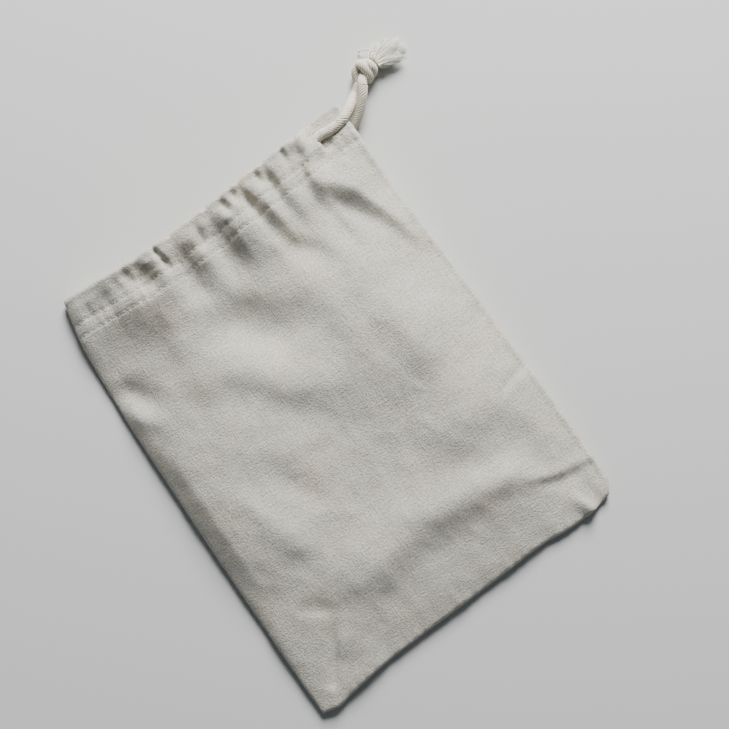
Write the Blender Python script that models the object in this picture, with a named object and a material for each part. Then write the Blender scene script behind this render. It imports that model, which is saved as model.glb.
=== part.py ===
# Cotton drawstring bag, lying flat with its mouth a little open.
# One cloth is folded along the left side and sewn along the right side and the bottom.
# Its top is turned in as a hem, and a cord runs through that hem from one slit,
# round the fold, to the other slit. Both ends are tied in one knot and fray beyond it.
# Sizes are in millimetres until they become Blender coordinates.
# +Y runs from the bottom seam to the mouth, +X from the fold to the side seam.
# A place on the cloth is given by two shares: across, from the fold to the side seam,
# and up, from the bottom seam to the mouth.

import math
import random

import bmesh
import bpy
from mathutils import Vector

MM = 0.001

# Cloth and cord
CLOTH = 1.0
CORD = 4.2
CORD_ROOM = 4.9
CORD_SIDES = 10
CHANNEL_SIDES = 12

# The hem, measured down from the mouth
HEM_DEPTH = 18.5
HEM_STEP = 1.4
HEM_EASE = 30.0
MOUTH_EDGE = 1.5
MOUTH_ROUND = 2.0
LIP = 5.0
FRONT_LIP_DROP = 1.5
BACK_LIP_LIFT = 1.2
SWELL_REACH = 6.0
CHANNEL_COVER = 0.8

# The flat end of the heading, past the two slits where the cord comes out
SLIT_ACROSS = 0.883
SLIT_STEP = 0.004
SLIT_BELOW = 8.2
SLIT_HALF = 5.5
SLIT_FADE = 5.0
SOFT_STEP = 0.09
TAB_UNDERSIDE = 6.0
TAB_CLOTH = 1.2
TAB_GAP = 0.4
TAB_FALLS_FROM = HEM_DEPTH - 3.0
TAB_FALL = 24.0

# Edges: how far the seams and the fold reach inside, and how each is rounded over
FOLD_ROUND = 6.5
SEAM_ROUND = 2.4
UNDER_ROUND = 3.5
INSIDE_ROUND = 3.0
SEAM_INSIDE = 2.4
BOTTOM_INSIDE = 2.6
FOLD_INSIDE = 1.2
TURN_INSIDE = 17.0
TURN_DEPTH = 26.0
TURN_EASE = 8.0
FOLD_GAP = 2.6
SEAM_GAP = 1.2
LEAST_GAP = 0.4

# The inside follows the lowest of the outside within this share across, but at the slit
NEAR_ACROSS = 0.018
NEAR_SLIT = 0.02

# Outline of the lying bag, by its share up from the bottom seam
SIDES = [
    dict(up=0.00, left=-76.3, right=74.2),
    dict(up=0.03, left=-76.5, right=77.4),
    dict(up=0.06, left=-76.7, right=77.7),
    dict(up=0.25, left=-77.3, right=76.3),
    dict(up=0.40, left=-77.6, right=74.7),
    dict(up=0.55, left=-77.7, right=73.4),
    dict(up=0.70, left=-77.7, right=71.0),
    dict(up=0.80, left=-77.2, right=69.8),
    dict(up=0.90, left=-75.8, right=69.3),
    dict(up=0.96, left=-73.7, right=68.9),
    dict(up=1.00, left=-72.0, right=68.7),
]

# The same outline by its share across from the fold
ENDS = [
    dict(across=0.00, bottom=-103.6, mouth=99.9),
    dict(across=0.05, bottom=-104.8, mouth=100.1),
    dict(across=0.10, bottom=-103.3, mouth=99.4),
    dict(across=0.22, bottom=-100.5, mouth=97.7),
    dict(across=0.35, bottom=-99.1, mouth=97.3),
    dict(across=0.50, bottom=-97.8, mouth=98.7),
    dict(across=0.64, bottom=-96.5, mouth=100.4),
    dict(across=0.76, bottom=-95.2, mouth=102.0),
    dict(across=0.86, bottom=-96.0, mouth=103.7),
    dict(across=0.95, bottom=-94.9, mouth=105.0),
    dict(across=1.00, bottom=-92.8, mouth=104.5),
]

# Height of the hollow inside the bag, at its tallest across
CROWN = [
    dict(up=0.00, rise=0.0),
    dict(up=0.06, rise=2.2),
    dict(up=0.15, rise=4.6),
    dict(up=0.30, rise=7.6),
    dict(up=0.45, rise=9.4),
    dict(up=0.60, rise=10.4),
    dict(up=0.80, rise=11.2),
    dict(up=1.00, rise=11.4),
]
CROWN_ACROSS = [
    dict(across=0.00, share=0.0),
    dict(across=0.05, share=0.28),
    dict(across=0.12, share=0.56),
    dict(across=0.25, share=0.88),
    dict(across=0.40, share=1.0),
    dict(across=0.60, share=1.0),
    dict(across=0.75, share=0.86),
    dict(across=0.88, share=0.5),
    dict(across=1.00, share=0.0),
]

# Height of the hollow inside the hem, and where the hem takes over from the body
HEM_RISE = [
    dict(across=0.00, rise=0.3),
    dict(across=0.09, rise=3.6),
    dict(across=0.20, rise=7.6),
    dict(across=0.30, rise=11.0),
    dict(across=0.40, rise=12.2),
    dict(across=0.62, rise=12.2),
    dict(across=0.76, rise=10.6),
    dict(across=0.88, rise=8.2),
    dict(across=1.00, rise=1.0),
]
BODY_ENDS = 0.66
HEM_BEGINS = 0.92

# Gathers of the front hem: troughs that run down from the mouth, between raised folds
GATHERS = [
    dict(x=-50.0, width=3.6, depth=0.7, reach=12.0),
    dict(x=-37.2, width=3.0, depth=1.5, reach=17.0),
    dict(x=-26.8, width=1.7, depth=1.9, reach=15.0),
    dict(x=-16.2, width=3.0, depth=2.3, reach=30.0),
    dict(x=-7.5, width=1.8, depth=1.3, reach=13.0),
    dict(x=0.6, width=2.8, depth=2.1, reach=19.0),
    dict(x=7.0, width=1.8, depth=1.4, reach=14.0),
    dict(x=16.6, width=2.2, depth=2.2, reach=26.0),
    dict(x=29.0, width=2.2, depth=2.3, reach=28.0),
    dict(x=40.2, width=3.0, depth=2.0, reach=26.0),
]
GATHER_RISE = 1.3
GATHERS_FROM = -56.0
GATHERS_TO = 52.0
GATHERS_FADE = 12.0
GATHERS_EASE_FROM = HEM_DEPTH - 4.0
GATHERS_EASE_TO = HEM_DEPTH + 14.0
TROUGH_EASE_FROM = 0.5
TROUGH_EASE_TO = 1.15
SCALLOP = 0.3

# Soft folds of the front, each along a line of points: a height below 0 is a trough
FOLDS = [
    dict(line=[(40, 84), (48.5, 76), (54.5, 67), (59.5, 55), (65.5, 45)], width=3.4, height=-2.4),
    dict(line=[(54, 82), (62, 68), (68, 50)], width=5.0, height=1.0),
    dict(line=[(42, 70), (49, 55), (51.5, 33), (57, 11)], width=5.5, height=1.5),
    dict(line=[(36, 78), (42.5, 60), (45, 48)], width=3.4, height=-1.0),
    dict(line=[(-40, 42), (-18, 26), (1, 9), (15, -5)], width=4.6, height=1.0),
    dict(line=[(-46, 39), (-23, 21), (-18, 9), (4, -22), (9, -35)], width=5.0, height=-1.1),
    dict(line=[(-8, 60), (-3, 50), (4, 42)], width=9.0, height=-1.4),
    dict(line=[(-66, 58), (-60, 48)], width=6.5, height=-1.6),
    dict(line=[(-60, 6), (-52, -20), (-42, -46)], width=6.5, height=0.9),
    dict(line=[(-38, -67), (-7, -59), (15, -60), (37, -64), (54, -71), (74, -77)],
         width=3.4, height=1.0),
    dict(line=[(-36, -74), (-15, -70), (12, -70), (34, -76)], width=6.5, height=-1.9),
    dict(line=[(-66, -94), (-54, -76)], width=2.6, height=-0.8),
    dict(line=[(66, -94), (62.5, -85), (58, -78)], width=2.4, height=0.9),
    dict(line=[(30, 20), (33, -4), (28, -24)], width=7.0, height=-0.9),
]

# How the cord lies inside the hem: share across, and how far below the mouth
CORD_IN_FRONT_HEM = [
    dict(across=0.845, below=7.0),
    dict(across=0.75, below=8.0),
    dict(across=0.65, below=8.7),
    dict(across=0.54, below=9.0),
    dict(across=0.43, below=9.0),
    dict(across=0.32, below=8.4),
    dict(across=0.22, below=7.0),
    dict(across=0.15, below=5.6),
    dict(across=0.09, below=4.9),
]
CORD_IN_BACK_HEM = [
    dict(across=0.09, below=14.0),
    dict(across=0.15, below=13.4),
    dict(across=0.22, below=12.2),
    dict(across=0.32, below=10.2),
    dict(across=0.43, below=9.4),
    dict(across=0.54, below=9.4),
    dict(across=0.65, below=9.6),
    dict(across=0.75, below=9.9),
    dict(across=0.845, below=10.0),
]
TURN_STEPS = 6
ROUTE_STEP = 6.3

# The free ends of the cord, each from its slit to the knot
FRONT_END = [
    (54.6, 97.6, 11.5),
    (59.2, 97.2, 11.6),
    (63.5, 97.4, 11.6),
    (67.5, 98.5, 11.2),
    (71.2, 100.6, 8.8),
    (74.4, 103.1, 5.2),
    (77.6, 105.4, 3.0),
    (81.0, 107.8, 2.7),
]
BACK_END = [
    (55.2, 94.0, 3.3),
    (60.0, 93.5, 2.8),
    (64.8, 93.2, 2.6),
    (69.4, 93.8, 2.7),
    (73.4, 95.9, 4.0),
    (76.6, 99.2, 5.9),
    (79.2, 102.6, 7.3),
    (81.6, 105.8, 7.7),
]
CHANNEL_PAST_SLIT = 2

# The knot, a lump with a twist of cord round it, along its own heading
KNOT_CENTRE = (86.1, 111.2, 4.8)
KNOT_HEADING = -9.0
KNOT_SIDES = 20
KNOT_PROFILE = [
    dict(along=-5.7, radius=1.5),
    dict(along=-5.2, radius=2.6),
    dict(along=-4.1, radius=3.7),
    dict(along=-2.2, radius=4.4),
    dict(along=0.0, radius=4.6),
    dict(along=2.0, radius=4.2),
    dict(along=3.8, radius=3.1),
    dict(along=5.2, radius=2.5),
    dict(along=6.0, radius=2.4),
]
KNOT_RIDGES = 2
KNOT_RIDGE_SHARE = 0.06
KNOT_TWIST = 0.42

# The frayed end past the knot
FRAY_HEADING = 9.0
FRAY_GAP = 0.3
FRAY_HEAD = 2.3
FRAY_LENGTH = 13.2
FRAY_HALF_WIDTH = 7.2
FRAY_HALF_HEIGHT = 2.2
FRAY_CENTRE_AT_TIP = 2.25
FRAY_ROUND = 0.22
FRAY_SHORTER = 1.6
FRAY_LONGER = 0.4
STRAND_INSET = 0.22
STRAND_STEPS = 5
STRAND_FACING = 0.12
STRAND_TIP = 0.7

# Rows and columns of points on the cloth. Shares are from the near edge, rows in
# millimetres below the mouth.
OUTER_EDGE = [0.0, 0.004, 0.012, 0.024, 0.042]
UNDER_EDGE = [0.0, 0.008, 0.024, 0.05]
INNER_EDGE = [0.0, 0.008, 0.02]
FRONT_COLUMNS = 40
BACK_COLUMNS = 10
INNER_FRONT_COLUMNS = 22
INNER_BACK_COLUMNS = 8
SLIT_CLEAR = 0.012
HEM_ROWS = [30, 25, 22, 20.2, 18.5, 16.5, 14.5, 12.4, 10.4, 8.4, 6.4, 4.5, 2.8, 1.4, 0.5, 0]
OUTER_BOTTOM = [0.0, 0.003, 0.008, 0.018, 0.034]
INNER_BOTTOM = [0.013, 0.017, 0.028, 0.045]
OUTER_ROWS = 24
INNER_ROWS = 20


def mix(a, b, share):
    return a + (b - a) * share


def ramp(value, start, end):
    share = min(max((value - start) / (end - start), 0.0), 1.0)
    return share * share * (3.0 - 2.0 * share)


def read_rows(rows, key, at, value):
    """Smooth value between the rows of a table, without overshooting them by much."""
    last = len(rows) - 1
    at = min(max(at, rows[0][key]), rows[last][key])
    k = 0
    while k < last - 1 and at > rows[k + 1][key]:
        k += 1
    before = rows[max(k - 1, 0)]
    low = rows[k]
    high = rows[k + 1]
    after = rows[min(k + 2, last)]
    span = high[key] - low[key]
    share = (at - low[key]) / span
    slope_low = (high[value] - before[value]) / (high[key] - before[key]) * span
    slope_high = (after[value] - low[value]) / (after[key] - low[key]) * span
    result = (1.0 + 2.0 * share) * (1.0 - share) ** 2 * low[value]
    result += share * share * (3.0 - 2.0 * share) * high[value]
    result += share * (1.0 - share) ** 2 * slope_low
    result += share * share * (share - 1.0) * slope_high
    return result


def rounded(distance, radius):
    """Share of the full height at a distance in from a rounded edge."""
    share = min(max(distance / radius, 0.0), 1.0)
    return math.sqrt(1.0 - (1.0 - share) ** 2)


def place(across, up):
    left = read_rows(SIDES, "up", up, "left")
    right = read_rows(SIDES, "up", up, "right")
    bottom = read_rows(ENDS, "across", across, "bottom")
    return mix(left, right, across), mix(bottom, mouth_at(across), up)


def mouth_at(across):
    scallop = 0.0
    for gather in GATHERS:
        away = (mix(SIDES[-1]["left"], SIDES[-1]["right"], across) - gather["x"]) / gather["width"]
        scallop -= SCALLOP * gather["depth"] * math.exp(-away * away)
    return read_rows(ENDS, "across", across, "mouth") + scallop


def distance_to_line(x, y, line):
    best = 1e9
    for a, b in zip(line, line[1:]):
        ab = Vector(b) - Vector(a)
        ap = Vector((x, y)) - Vector(a)
        share = min(max(ap.dot(ab) / ab.length_squared, 0.0), 1.0)
        best = min(best, (ap - ab * share).length)
    return best


def fold_height(x, y):
    height = 0.0
    for fold in FOLDS:
        away = distance_to_line(x, y, fold["line"]) / fold["width"]
        if away < 3.0:
            height += fold["height"] * math.exp(-away * away)
    return height


def gather_height(x, below):
    zone = ramp(x, GATHERS_FROM, GATHERS_FROM + GATHERS_FADE)
    zone *= 1.0 - ramp(x, GATHERS_TO - GATHERS_FADE, GATHERS_TO)
    height = GATHER_RISE * zone * (1.0 - ramp(below, GATHERS_EASE_FROM, GATHERS_EASE_TO))
    for gather in GATHERS:
        away = (x - gather["x"]) / gather["width"]
        reach = gather["reach"]
        along = 1.0 - ramp(below, reach * TROUGH_EASE_FROM, reach * TROUGH_EASE_TO)
        height -= gather["depth"] * along * math.exp(-away * away)
    return height


def tab_share(across, below):
    """1 on the flat end of the heading, with a sharp step to it beside each slit."""
    in_slit = 1.0 - ramp(abs(below - SLIT_BELOW), SLIT_HALF, SLIT_HALF + SLIT_FADE)
    sharp = ramp(across, SLIT_ACROSS - SLIT_STEP, SLIT_ACROSS + SLIT_STEP)
    soft = ramp(across, SLIT_ACROSS - SOFT_STEP, SLIT_ACROSS + SOFT_STEP / 3.0)
    share = mix(soft, sharp, in_slit)
    return share * (1.0 - ramp(below, TAB_FALLS_FROM, TAB_FALLS_FROM + TAB_FALL))


def swell(away):
    """Height that the cloth round the cord has, above or below the cord's middle."""
    reach = min(abs(away) / SWELL_REACH, 1.0)
    return (CORD_ROOM / 2.0 + CLOTH) * math.cos(reach * math.pi / 2.0)


def hem_rise(across):
    return read_rows(HEM_RISE, "across", across, "rise")


def front_cord_level(across):
    return CLOTH * 3.0 + hem_rise(across)


def back_cord_level():
    return CLOTH + CORD_ROOM / 2.0


def turn_of_cord():
    """The cord's half turn at the fold, from the front hem to the back hem."""
    front = CORD_IN_FRONT_HEM[-1]
    back = CORD_IN_BACK_HEM[0]
    x, mouth = place(front["across"], 1.0)
    start = Vector((x, mouth - front["below"], front_cord_level(front["across"])))
    end = Vector((x, mouth - back["below"], back_cord_level()))
    centre = (start + end) / 2.0
    arm = start - centre
    points = []
    for step in range(TURN_STEPS + 1):
        angle = math.pi * step / TURN_STEPS
        points.append(centre + arm * math.cos(angle) + Vector((-arm.length * math.sin(angle), 0, 0)))
    return points


TURN = turn_of_cord()


def levels(across, up):
    """Heights of the two faces of the front cloth and of the back cloth, before edges."""
    x, y = place(across, up)
    below = mouth_at(across) - y
    tab = tab_share(across, below)
    in_hem = 1.0 - ramp(below, HEM_DEPTH, HEM_DEPTH + HEM_STEP)
    wall = CLOTH * (1.0 + in_hem)
    edge = rounded(below, MOUTH_ROUND)
    lip = 1.0 - min(below / LIP, 1.0)
    lip *= lip

    rise = read_rows(CROWN, "up", up, "rise") * read_rows(CROWN_ACROSS, "across", across, "share")
    rise += mix(FOLD_GAP, SEAM_GAP, across)
    rise = mix(rise, hem_rise(across), ramp(up, BODY_ENDS, HEM_BEGINS))
    rise += 2.0 * (2.0 * CLOTH - wall) * (1.0 - ramp(below, HEM_DEPTH, HEM_DEPTH + HEM_EASE))
    rise = mix(rise, TAB_GAP, tab)
    wall = mix(wall, TAB_CLOTH, tab)

    back_under = TAB_UNDERSIDE * tab
    back_middle = back_under + wall / 2.0 + BACK_LIP_LIFT * lip * (1.0 - tab)
    front_middle = back_under + wall * 1.5 + rise - FRONT_LIP_DROP * lip * (1.0 - tab)
    half = mix(MOUTH_EDGE, wall, edge) / 2.0
    back_under = mix(back_middle - half, back_under, edge * (1.0 - lip))
    back_top = back_middle + half
    front_under = front_middle - half
    front_top = front_middle + half

    if across < SLIT_ACROSS and in_hem > 0.0:
        cord = front_cord_level(across)
        away = below - read_rows(CORD_IN_FRONT_HEM[::-1], "across", across, "below")
        if across > CORD_IN_FRONT_HEM[-1]["across"]:
            front_top = max(front_top, cord + swell(away) * edge)
            front_under = min(front_under, cord - swell(away) * edge)
        away_back = below - read_rows(CORD_IN_BACK_HEM, "across", across, "below")
        if across > CORD_IN_BACK_HEM[0]["across"]:
            back_top = max(back_top, back_cord_level() + swell(away_back) * edge)

    gathered = front_top + gather_height(x, below) * (1.0 - tab) + fold_height(x, y)
    if across < SLIT_ACROSS and in_hem > 0.0:
        room = CORD_ROOM / 2.0 + CHANNEL_COVER
        if abs(away) < room and across > CORD_IN_FRONT_HEM[-1]["across"]:
            gathered = max(gathered, cord + math.sqrt(room * room - away * away))
    front_under += min(gathered - front_top, 0.0)
    front_top = gathered
    for point in TURN:
        aside = math.hypot(x - point.x, y - point.y)
        if aside < SWELL_REACH:
            front_top = max(front_top, point.z + swell(aside))
    front_under = max(front_under, back_top + LEAST_GAP)
    front_top = max(front_top, front_under + half * 2.0)
    return front_top, front_under, back_top, back_under


def outside(across, up):
    """Top and underside of the bag, rounded over at its edges."""
    x, y = place(across, up)
    front_top, front_under, back_top, back_under = levels(across, up)
    width = read_rows(SIDES, "up", up, "right") - read_rows(SIDES, "up", up, "left")
    from_fold = across * width
    from_seam = (1.0 - across) * width
    from_bottom = y - read_rows(ENDS, "across", across, "bottom")
    middle = (front_top + back_under) / 2.0
    over = rounded(from_fold, FOLD_ROUND) * rounded(from_seam, SEAM_ROUND)
    over *= rounded(from_bottom, SEAM_ROUND)
    under = rounded(from_fold, UNDER_ROUND) * rounded(from_seam, SEAM_ROUND)
    under *= rounded(from_bottom, SEAM_ROUND)
    top = mix(middle, front_top, over)
    bottom = mix(middle, back_under, under)
    return Vector((x, y, top)), Vector((x, y, bottom))


def fold_inset(up):
    """How far the inside stops from the fold: further where the cord turns in the hem."""
    below = (mouth_at(0.0) - ENDS[0]["bottom"]) * (1.0 - up)
    return mix(TURN_INSIDE, FOLD_INSIDE, ramp(below, TURN_DEPTH - TURN_EASE, TURN_DEPTH))


def inside(share, up):
    """Faces of the hollow at a share across it, kept under the outside all round."""
    left = read_rows(SIDES, "up", up, "left")
    width = read_rows(SIDES, "up", up, "right") - left
    first = fold_inset(up) / width
    last = 1.0 - SEAM_INSIDE / width
    across = mix(first, last, share)
    x, y = place(across, up)
    _, front_under, back_top, _ = levels(across, up)
    if abs(across - SLIT_ACROSS) > NEAR_SLIT:
        for near in (across - NEAR_ACROSS, across + NEAR_ACROSS):
            aside = levels(min(max(near, 0.0), 1.0), up)
            front_under = min(front_under, aside[1])
    front_under = max(front_under, back_top + LEAST_GAP)
    middle = (front_under + back_top) / 2.0
    round_side = rounded((across - first) * width, INSIDE_ROUND)
    round_side *= rounded((last - across) * width, INSIDE_ROUND)
    from_bottom = y - read_rows(ENDS, "across", across, "bottom") - BOTTOM_INSIDE
    round_side *= rounded(from_bottom, INSIDE_ROUND)
    over = mix(middle, front_under, round_side)
    under = mix(middle, back_top, round_side)
    return Vector((x, y, over)), Vector((x, y, under))


def shares_across(ends, steps, slit=False):
    """Shares across the cloth, close together at its edges and beside the slit."""
    first = ends[-1]
    shares = list(ends)
    for k in range(1, steps):
        shares.append(mix(first, 1.0 - first, k / steps))
    if slit:
        near = [s for s in shares if abs(s - SLIT_ACROSS) > SLIT_CLEAR]
        shares = near + [SLIT_ACROSS - SLIT_STEP, SLIT_ACROSS + SLIT_STEP]
    shares += [1.0 - s for s in ends]
    return sorted(shares)


def shares_up(bottom_rows, body_steps):
    length = mouth_at(0.5) - read_rows(ENDS, "across", 0.5, "bottom")
    hem = [1.0 - row / length for row in HEM_ROWS]
    first = bottom_rows[-1]
    body = [mix(first, hem[0], k / body_steps) for k in range(1, body_steps)]
    return bottom_rows + body + hem


def skin(mesh, columns_front, columns_back, rows, faces_at):
    """Rings of the skin, from the bottom line to the mouth. Returns the last ring."""
    line = [mesh.verts.new(faces_at(s, rows[0])[0] * MM) for s in columns_front]
    front = line
    back = line
    for row in rows[1:]:
        new_front = [mesh.verts.new(faces_at(s, row)[0] * MM) for s in columns_front]
        new_back = [new_front[0]]
        for s in columns_back[1:-1]:
            new_back.append(mesh.verts.new(faces_at(s, row)[1] * MM))
        new_back.append(new_front[-1])
        stitch(mesh, front, new_front)
        stitch(mesh, back[::-1], new_back[::-1])
        front = new_front
        back = new_back
    return front, back


def stitch(mesh, row_a, row_b):
    """Joins two rows of points with triangles, whatever their counts."""
    way = 1.0 if row_a[-1].co.x > row_a[0].co.x else -1.0
    a = 0
    b = 0
    while a < len(row_a) - 1 or b < len(row_b) - 1:
        if a == len(row_a) - 1 or b == len(row_b) - 1:
            step_a = b == len(row_b) - 1
        else:
            step_a = way * row_a[a + 1].co.x <= way * row_b[b + 1].co.x
        if step_a:
            corners = (row_a[a], row_a[a + 1], row_b[b])
            a += 1
        else:
            corners = (row_a[a], row_b[b + 1], row_b[b])
            b += 1
        if len(set(corners)) == 3:
            mesh.faces.new(corners)


def smooth_route(points):
    """Points along a smooth curve through the given ones."""
    points = [Vector(p) for p in points]
    route = [points[0]]
    for k in range(len(points) - 1):
        before = points[max(k - 1, 0)]
        low = points[k]
        high = points[k + 1]
        after = points[min(k + 2, len(points) - 1)]
        steps = max(1, round((high - low).length / ROUTE_STEP))
        for step in range(1, steps + 1):
            u = step / steps
            bend_low = (high - before) / 2.0
            bend_high = (after - low) / 2.0
            spot = low * ((1 + 2 * u) * (1 - u) ** 2) + high * (u * u * (3 - 2 * u))
            spot += bend_low * (u * (1 - u) ** 2) + bend_high * (u * u * (u - 1))
            route.append(spot)
    return route


def cord_in_hem(rows, level):
    points = []
    for row in rows:
        x, mouth = place(row["across"], 1.0)
        points.append(Vector((x, mouth - row["below"], level(row["across"]))))
    return points


def cord_points():
    """Route points: knot, front slit, front hem, fold, back hem, back slit, knot."""
    points = [Vector(p) for p in reversed(FRONT_END)]
    points += cord_in_hem(CORD_IN_FRONT_HEM[:-1], front_cord_level)
    points += TURN
    points += cord_in_hem(CORD_IN_BACK_HEM[1:], lambda across: back_cord_level())
    points += [Vector(p) for p in BACK_END]
    return points


def tube(name, points, radius, sides):
    mesh = bmesh.new()
    rings = []
    side = Vector((0, 0, 1))
    for k, point in enumerate(points):
        along = (points[min(k + 1, len(points) - 1)] - points[max(k - 1, 0)]).normalized()
        side = (side - along * side.dot(along)).normalized()
        other = along.cross(side)
        ring = []
        for j in range(sides):
            angle = 2.0 * math.pi * (j + 0.5) / sides
            spot = point + (side * math.cos(angle) + other * math.sin(angle)) * radius
            ring.append(mesh.verts.new(spot * MM))
        rings.append(ring)
    for low, high in zip(rings, rings[1:]):
        for j in range(sides):
            k = (j + 1) % sides
            mesh.faces.new((low[j], low[k], high[k], high[j]))
    mesh.faces.new(rings[0][::-1])
    mesh.faces.new(rings[-1])
    return finish_mesh(name, mesh)


def finish_mesh(name, mesh):
    bmesh.ops.recalc_face_normals(mesh, faces=mesh.faces)
    bmesh.ops.triangulate(mesh, faces=mesh.faces)
    data = bpy.data.meshes.new(name)
    mesh.to_mesh(data)
    mesh.free()
    data.shade_smooth()
    obj = bpy.data.objects.new(name, data)
    bpy.context.collection.objects.link(obj)
    return obj


def finish(name, colour, roughness):
    material = bpy.data.materials.new(name)
    material.use_nodes = True
    surface = material.node_tree.nodes["Principled BSDF"]
    surface.inputs["Base Color"].default_value = (*colour, 1.0)
    surface.inputs["Roughness"].default_value = roughness
    surface.inputs["Metallic"].default_value = 0.0
    return material


def bag_cloth(material, route):
    mesh = bmesh.new()
    front = shares_across(OUTER_EDGE, FRONT_COLUMNS, slit=True)
    back = shares_across(UNDER_EDGE, BACK_COLUMNS, slit=True)
    inner_front = shares_across(INNER_EDGE, INNER_FRONT_COLUMNS)
    inner_back = shares_across(INNER_EDGE, INNER_BACK_COLUMNS)
    rows = shares_up(OUTER_BOTTOM, OUTER_ROWS)
    inner_rows = shares_up(INNER_BOTTOM, INNER_ROWS)
    outer_front, outer_back = skin(mesh, front, back, rows, outside)
    inner_front, inner_back = skin(mesh, inner_front, inner_back, inner_rows, inside)
    stitch(mesh, outer_front, inner_front)
    stitch(mesh, outer_back, inner_back)
    bag = finish_mesh("bag_cloth", mesh)
    bag.data.materials.append(material)

    skip = len(FRONT_END) - CHANNEL_PAST_SLIT
    channel = tube("hem_channel", smooth_route(route[skip:-skip]), CORD_ROOM / 2.0, CHANNEL_SIDES)
    channel.hide_render = True
    channel.display_type = "WIRE"
    cut = bag.modifiers.new("channel", "BOOLEAN")
    cut.operation = "DIFFERENCE"
    cut.solver = "EXACT"
    cut.object = channel
    return bag


def drawstring(material, route):
    points = smooth_route(route)
    curve = bpy.data.curves.new("drawstring", "CURVE")
    curve.dimensions = "3D"
    curve.bevel_depth = CORD / 2.0 * MM
    curve.bevel_resolution = (CORD_SIDES - 4) // 2
    curve.use_fill_caps = True
    spline = curve.splines.new("POLY")
    spline.points.add(len(points) - 1)
    for spot, point in zip(spline.points, points):
        spot.co = (*(point * MM), 1.0)
    cord = bpy.data.objects.new("drawstring", curve)
    bpy.context.collection.objects.link(cord)
    curve.materials.append(material)
    return cord


def heading_axes(degrees):
    heading = math.radians(degrees)
    along = Vector((math.cos(heading), math.sin(heading), 0))
    aside = Vector((-math.sin(heading), math.cos(heading), 0))
    return along, aside


def knot(material):
    mesh = bmesh.new()
    along, aside = heading_axes(KNOT_HEADING)
    centre = Vector(KNOT_CENTRE)
    rings = []
    for row in KNOT_PROFILE:
        ring = []
        for j in range(KNOT_SIDES):
            angle = 2.0 * math.pi * j / KNOT_SIDES
            ridge = math.cos(KNOT_RIDGES * (angle + KNOT_TWIST * row["along"]))
            radius = row["radius"] * (1.0 + KNOT_RIDGE_SHARE * ridge)
            spot = centre + along * row["along"] + aside * (radius * math.cos(angle))
            spot.z += radius * math.sin(angle)
            ring.append(mesh.verts.new(spot * MM))
        rings.append(ring)
    for low, high in zip(rings, rings[1:]):
        for j in range(KNOT_SIDES):
            k = (j + 1) % KNOT_SIDES
            mesh.faces.new((low[j], low[k], high[k], high[j]))
    mesh.faces.new(rings[0][::-1])
    mesh.faces.new(rings[-1])
    lump = finish_mesh("knot", mesh)
    lump.data.materials.append(material)
    return lump


def frayed_end(material):
    """A round head whose facing sides each run out into one thread of three sides."""
    chance = random.Random(4)
    knot_along, _ = heading_axes(KNOT_HEADING)
    along, aside = heading_axes(FRAY_HEADING)
    upward = Vector((0, 0, 1))
    start = KNOT_PROFILE[-1]["along"] + FRAY_GAP + FRAY_HEAD
    centre = Vector(KNOT_CENTRE) + knot_along * start
    mesh = bmesh.new()
    bmesh.ops.create_icosphere(mesh, subdivisions=2, radius=FRAY_HEAD)
    for vert in mesh.verts:
        local = vert.co.copy()
        vert.co = along * local.x + aside * local.y + upward * local.z
    for face in list(mesh.faces):
        facing = face.normal.dot(along)
        if facing < STRAND_FACING:
            continue
        middle = face.calc_center_median()
        side = middle.dot(aside) / FRAY_HEAD
        high = middle.dot(upward) / FRAY_HEAD
        length = FRAY_LENGTH * (1.0 - FRAY_ROUND * side * side)
        length += chance.uniform(-FRAY_SHORTER, FRAY_LONGER)
        inner = [middle.lerp(v.co, 1.0 - STRAND_INSET) for v in face.verts]
        ring = list(face.verts)
        shapes = [(0.0, inner)]
        for step in range(1, STRAND_STEPS + 1):
            share = step / STRAND_STEPS
            spread = (ramp(share, 0.0, 1.0) + share) / 2.0
            spot = middle + along * (length * share)
            spot += aside * side * (FRAY_HALF_WIDTH - FRAY_HEAD) * spread
            spot += upward * high * (FRAY_HALF_HEIGHT - FRAY_HEAD) * spread
            spot.z += (FRAY_CENTRE_AT_TIP - KNOT_CENTRE[2]) * spread
            slim = mix(1.0, STRAND_TIP, share)
            shapes.append((share, [spot + (p - middle) * slim for p in inner]))
        mesh.faces.remove(face)
        for share, shape in shapes:
            new_ring = [mesh.verts.new(p) for p in shape]
            for j in range(3):
                k = (j + 1) % 3
                mesh.faces.new((ring[j], ring[k], new_ring[k], new_ring[j]))
            ring = new_ring
        mesh.faces.new(ring)
    for vert in mesh.verts:
        vert.co = (vert.co + centre) * MM
    fray = finish_mesh("frayed_end", mesh)
    fray.data.materials.append(material)
    return fray


def clear_scene():
    for obj in list(bpy.data.objects):
        bpy.data.objects.remove(obj, do_unlink=True)


def main():
    clear_scene()
    cotton = finish("unbleached_cotton", (0.52, 0.49, 0.44), 0.95)
    cord_cotton = finish("cord_cotton", (0.68, 0.65, 0.57), 0.9)
    route = cord_points()
    bag_cloth(cotton, route)
    drawstring(cord_cotton, route)
    knot(cord_cotton)
    frayed_end(cord_cotton)


main()
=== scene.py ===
# A small drawstring bag of unbleached cotton canvas, lying on its back with its mouth a little open.
import math
import random

import bpy
import numpy as np
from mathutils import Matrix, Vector, noise


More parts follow.
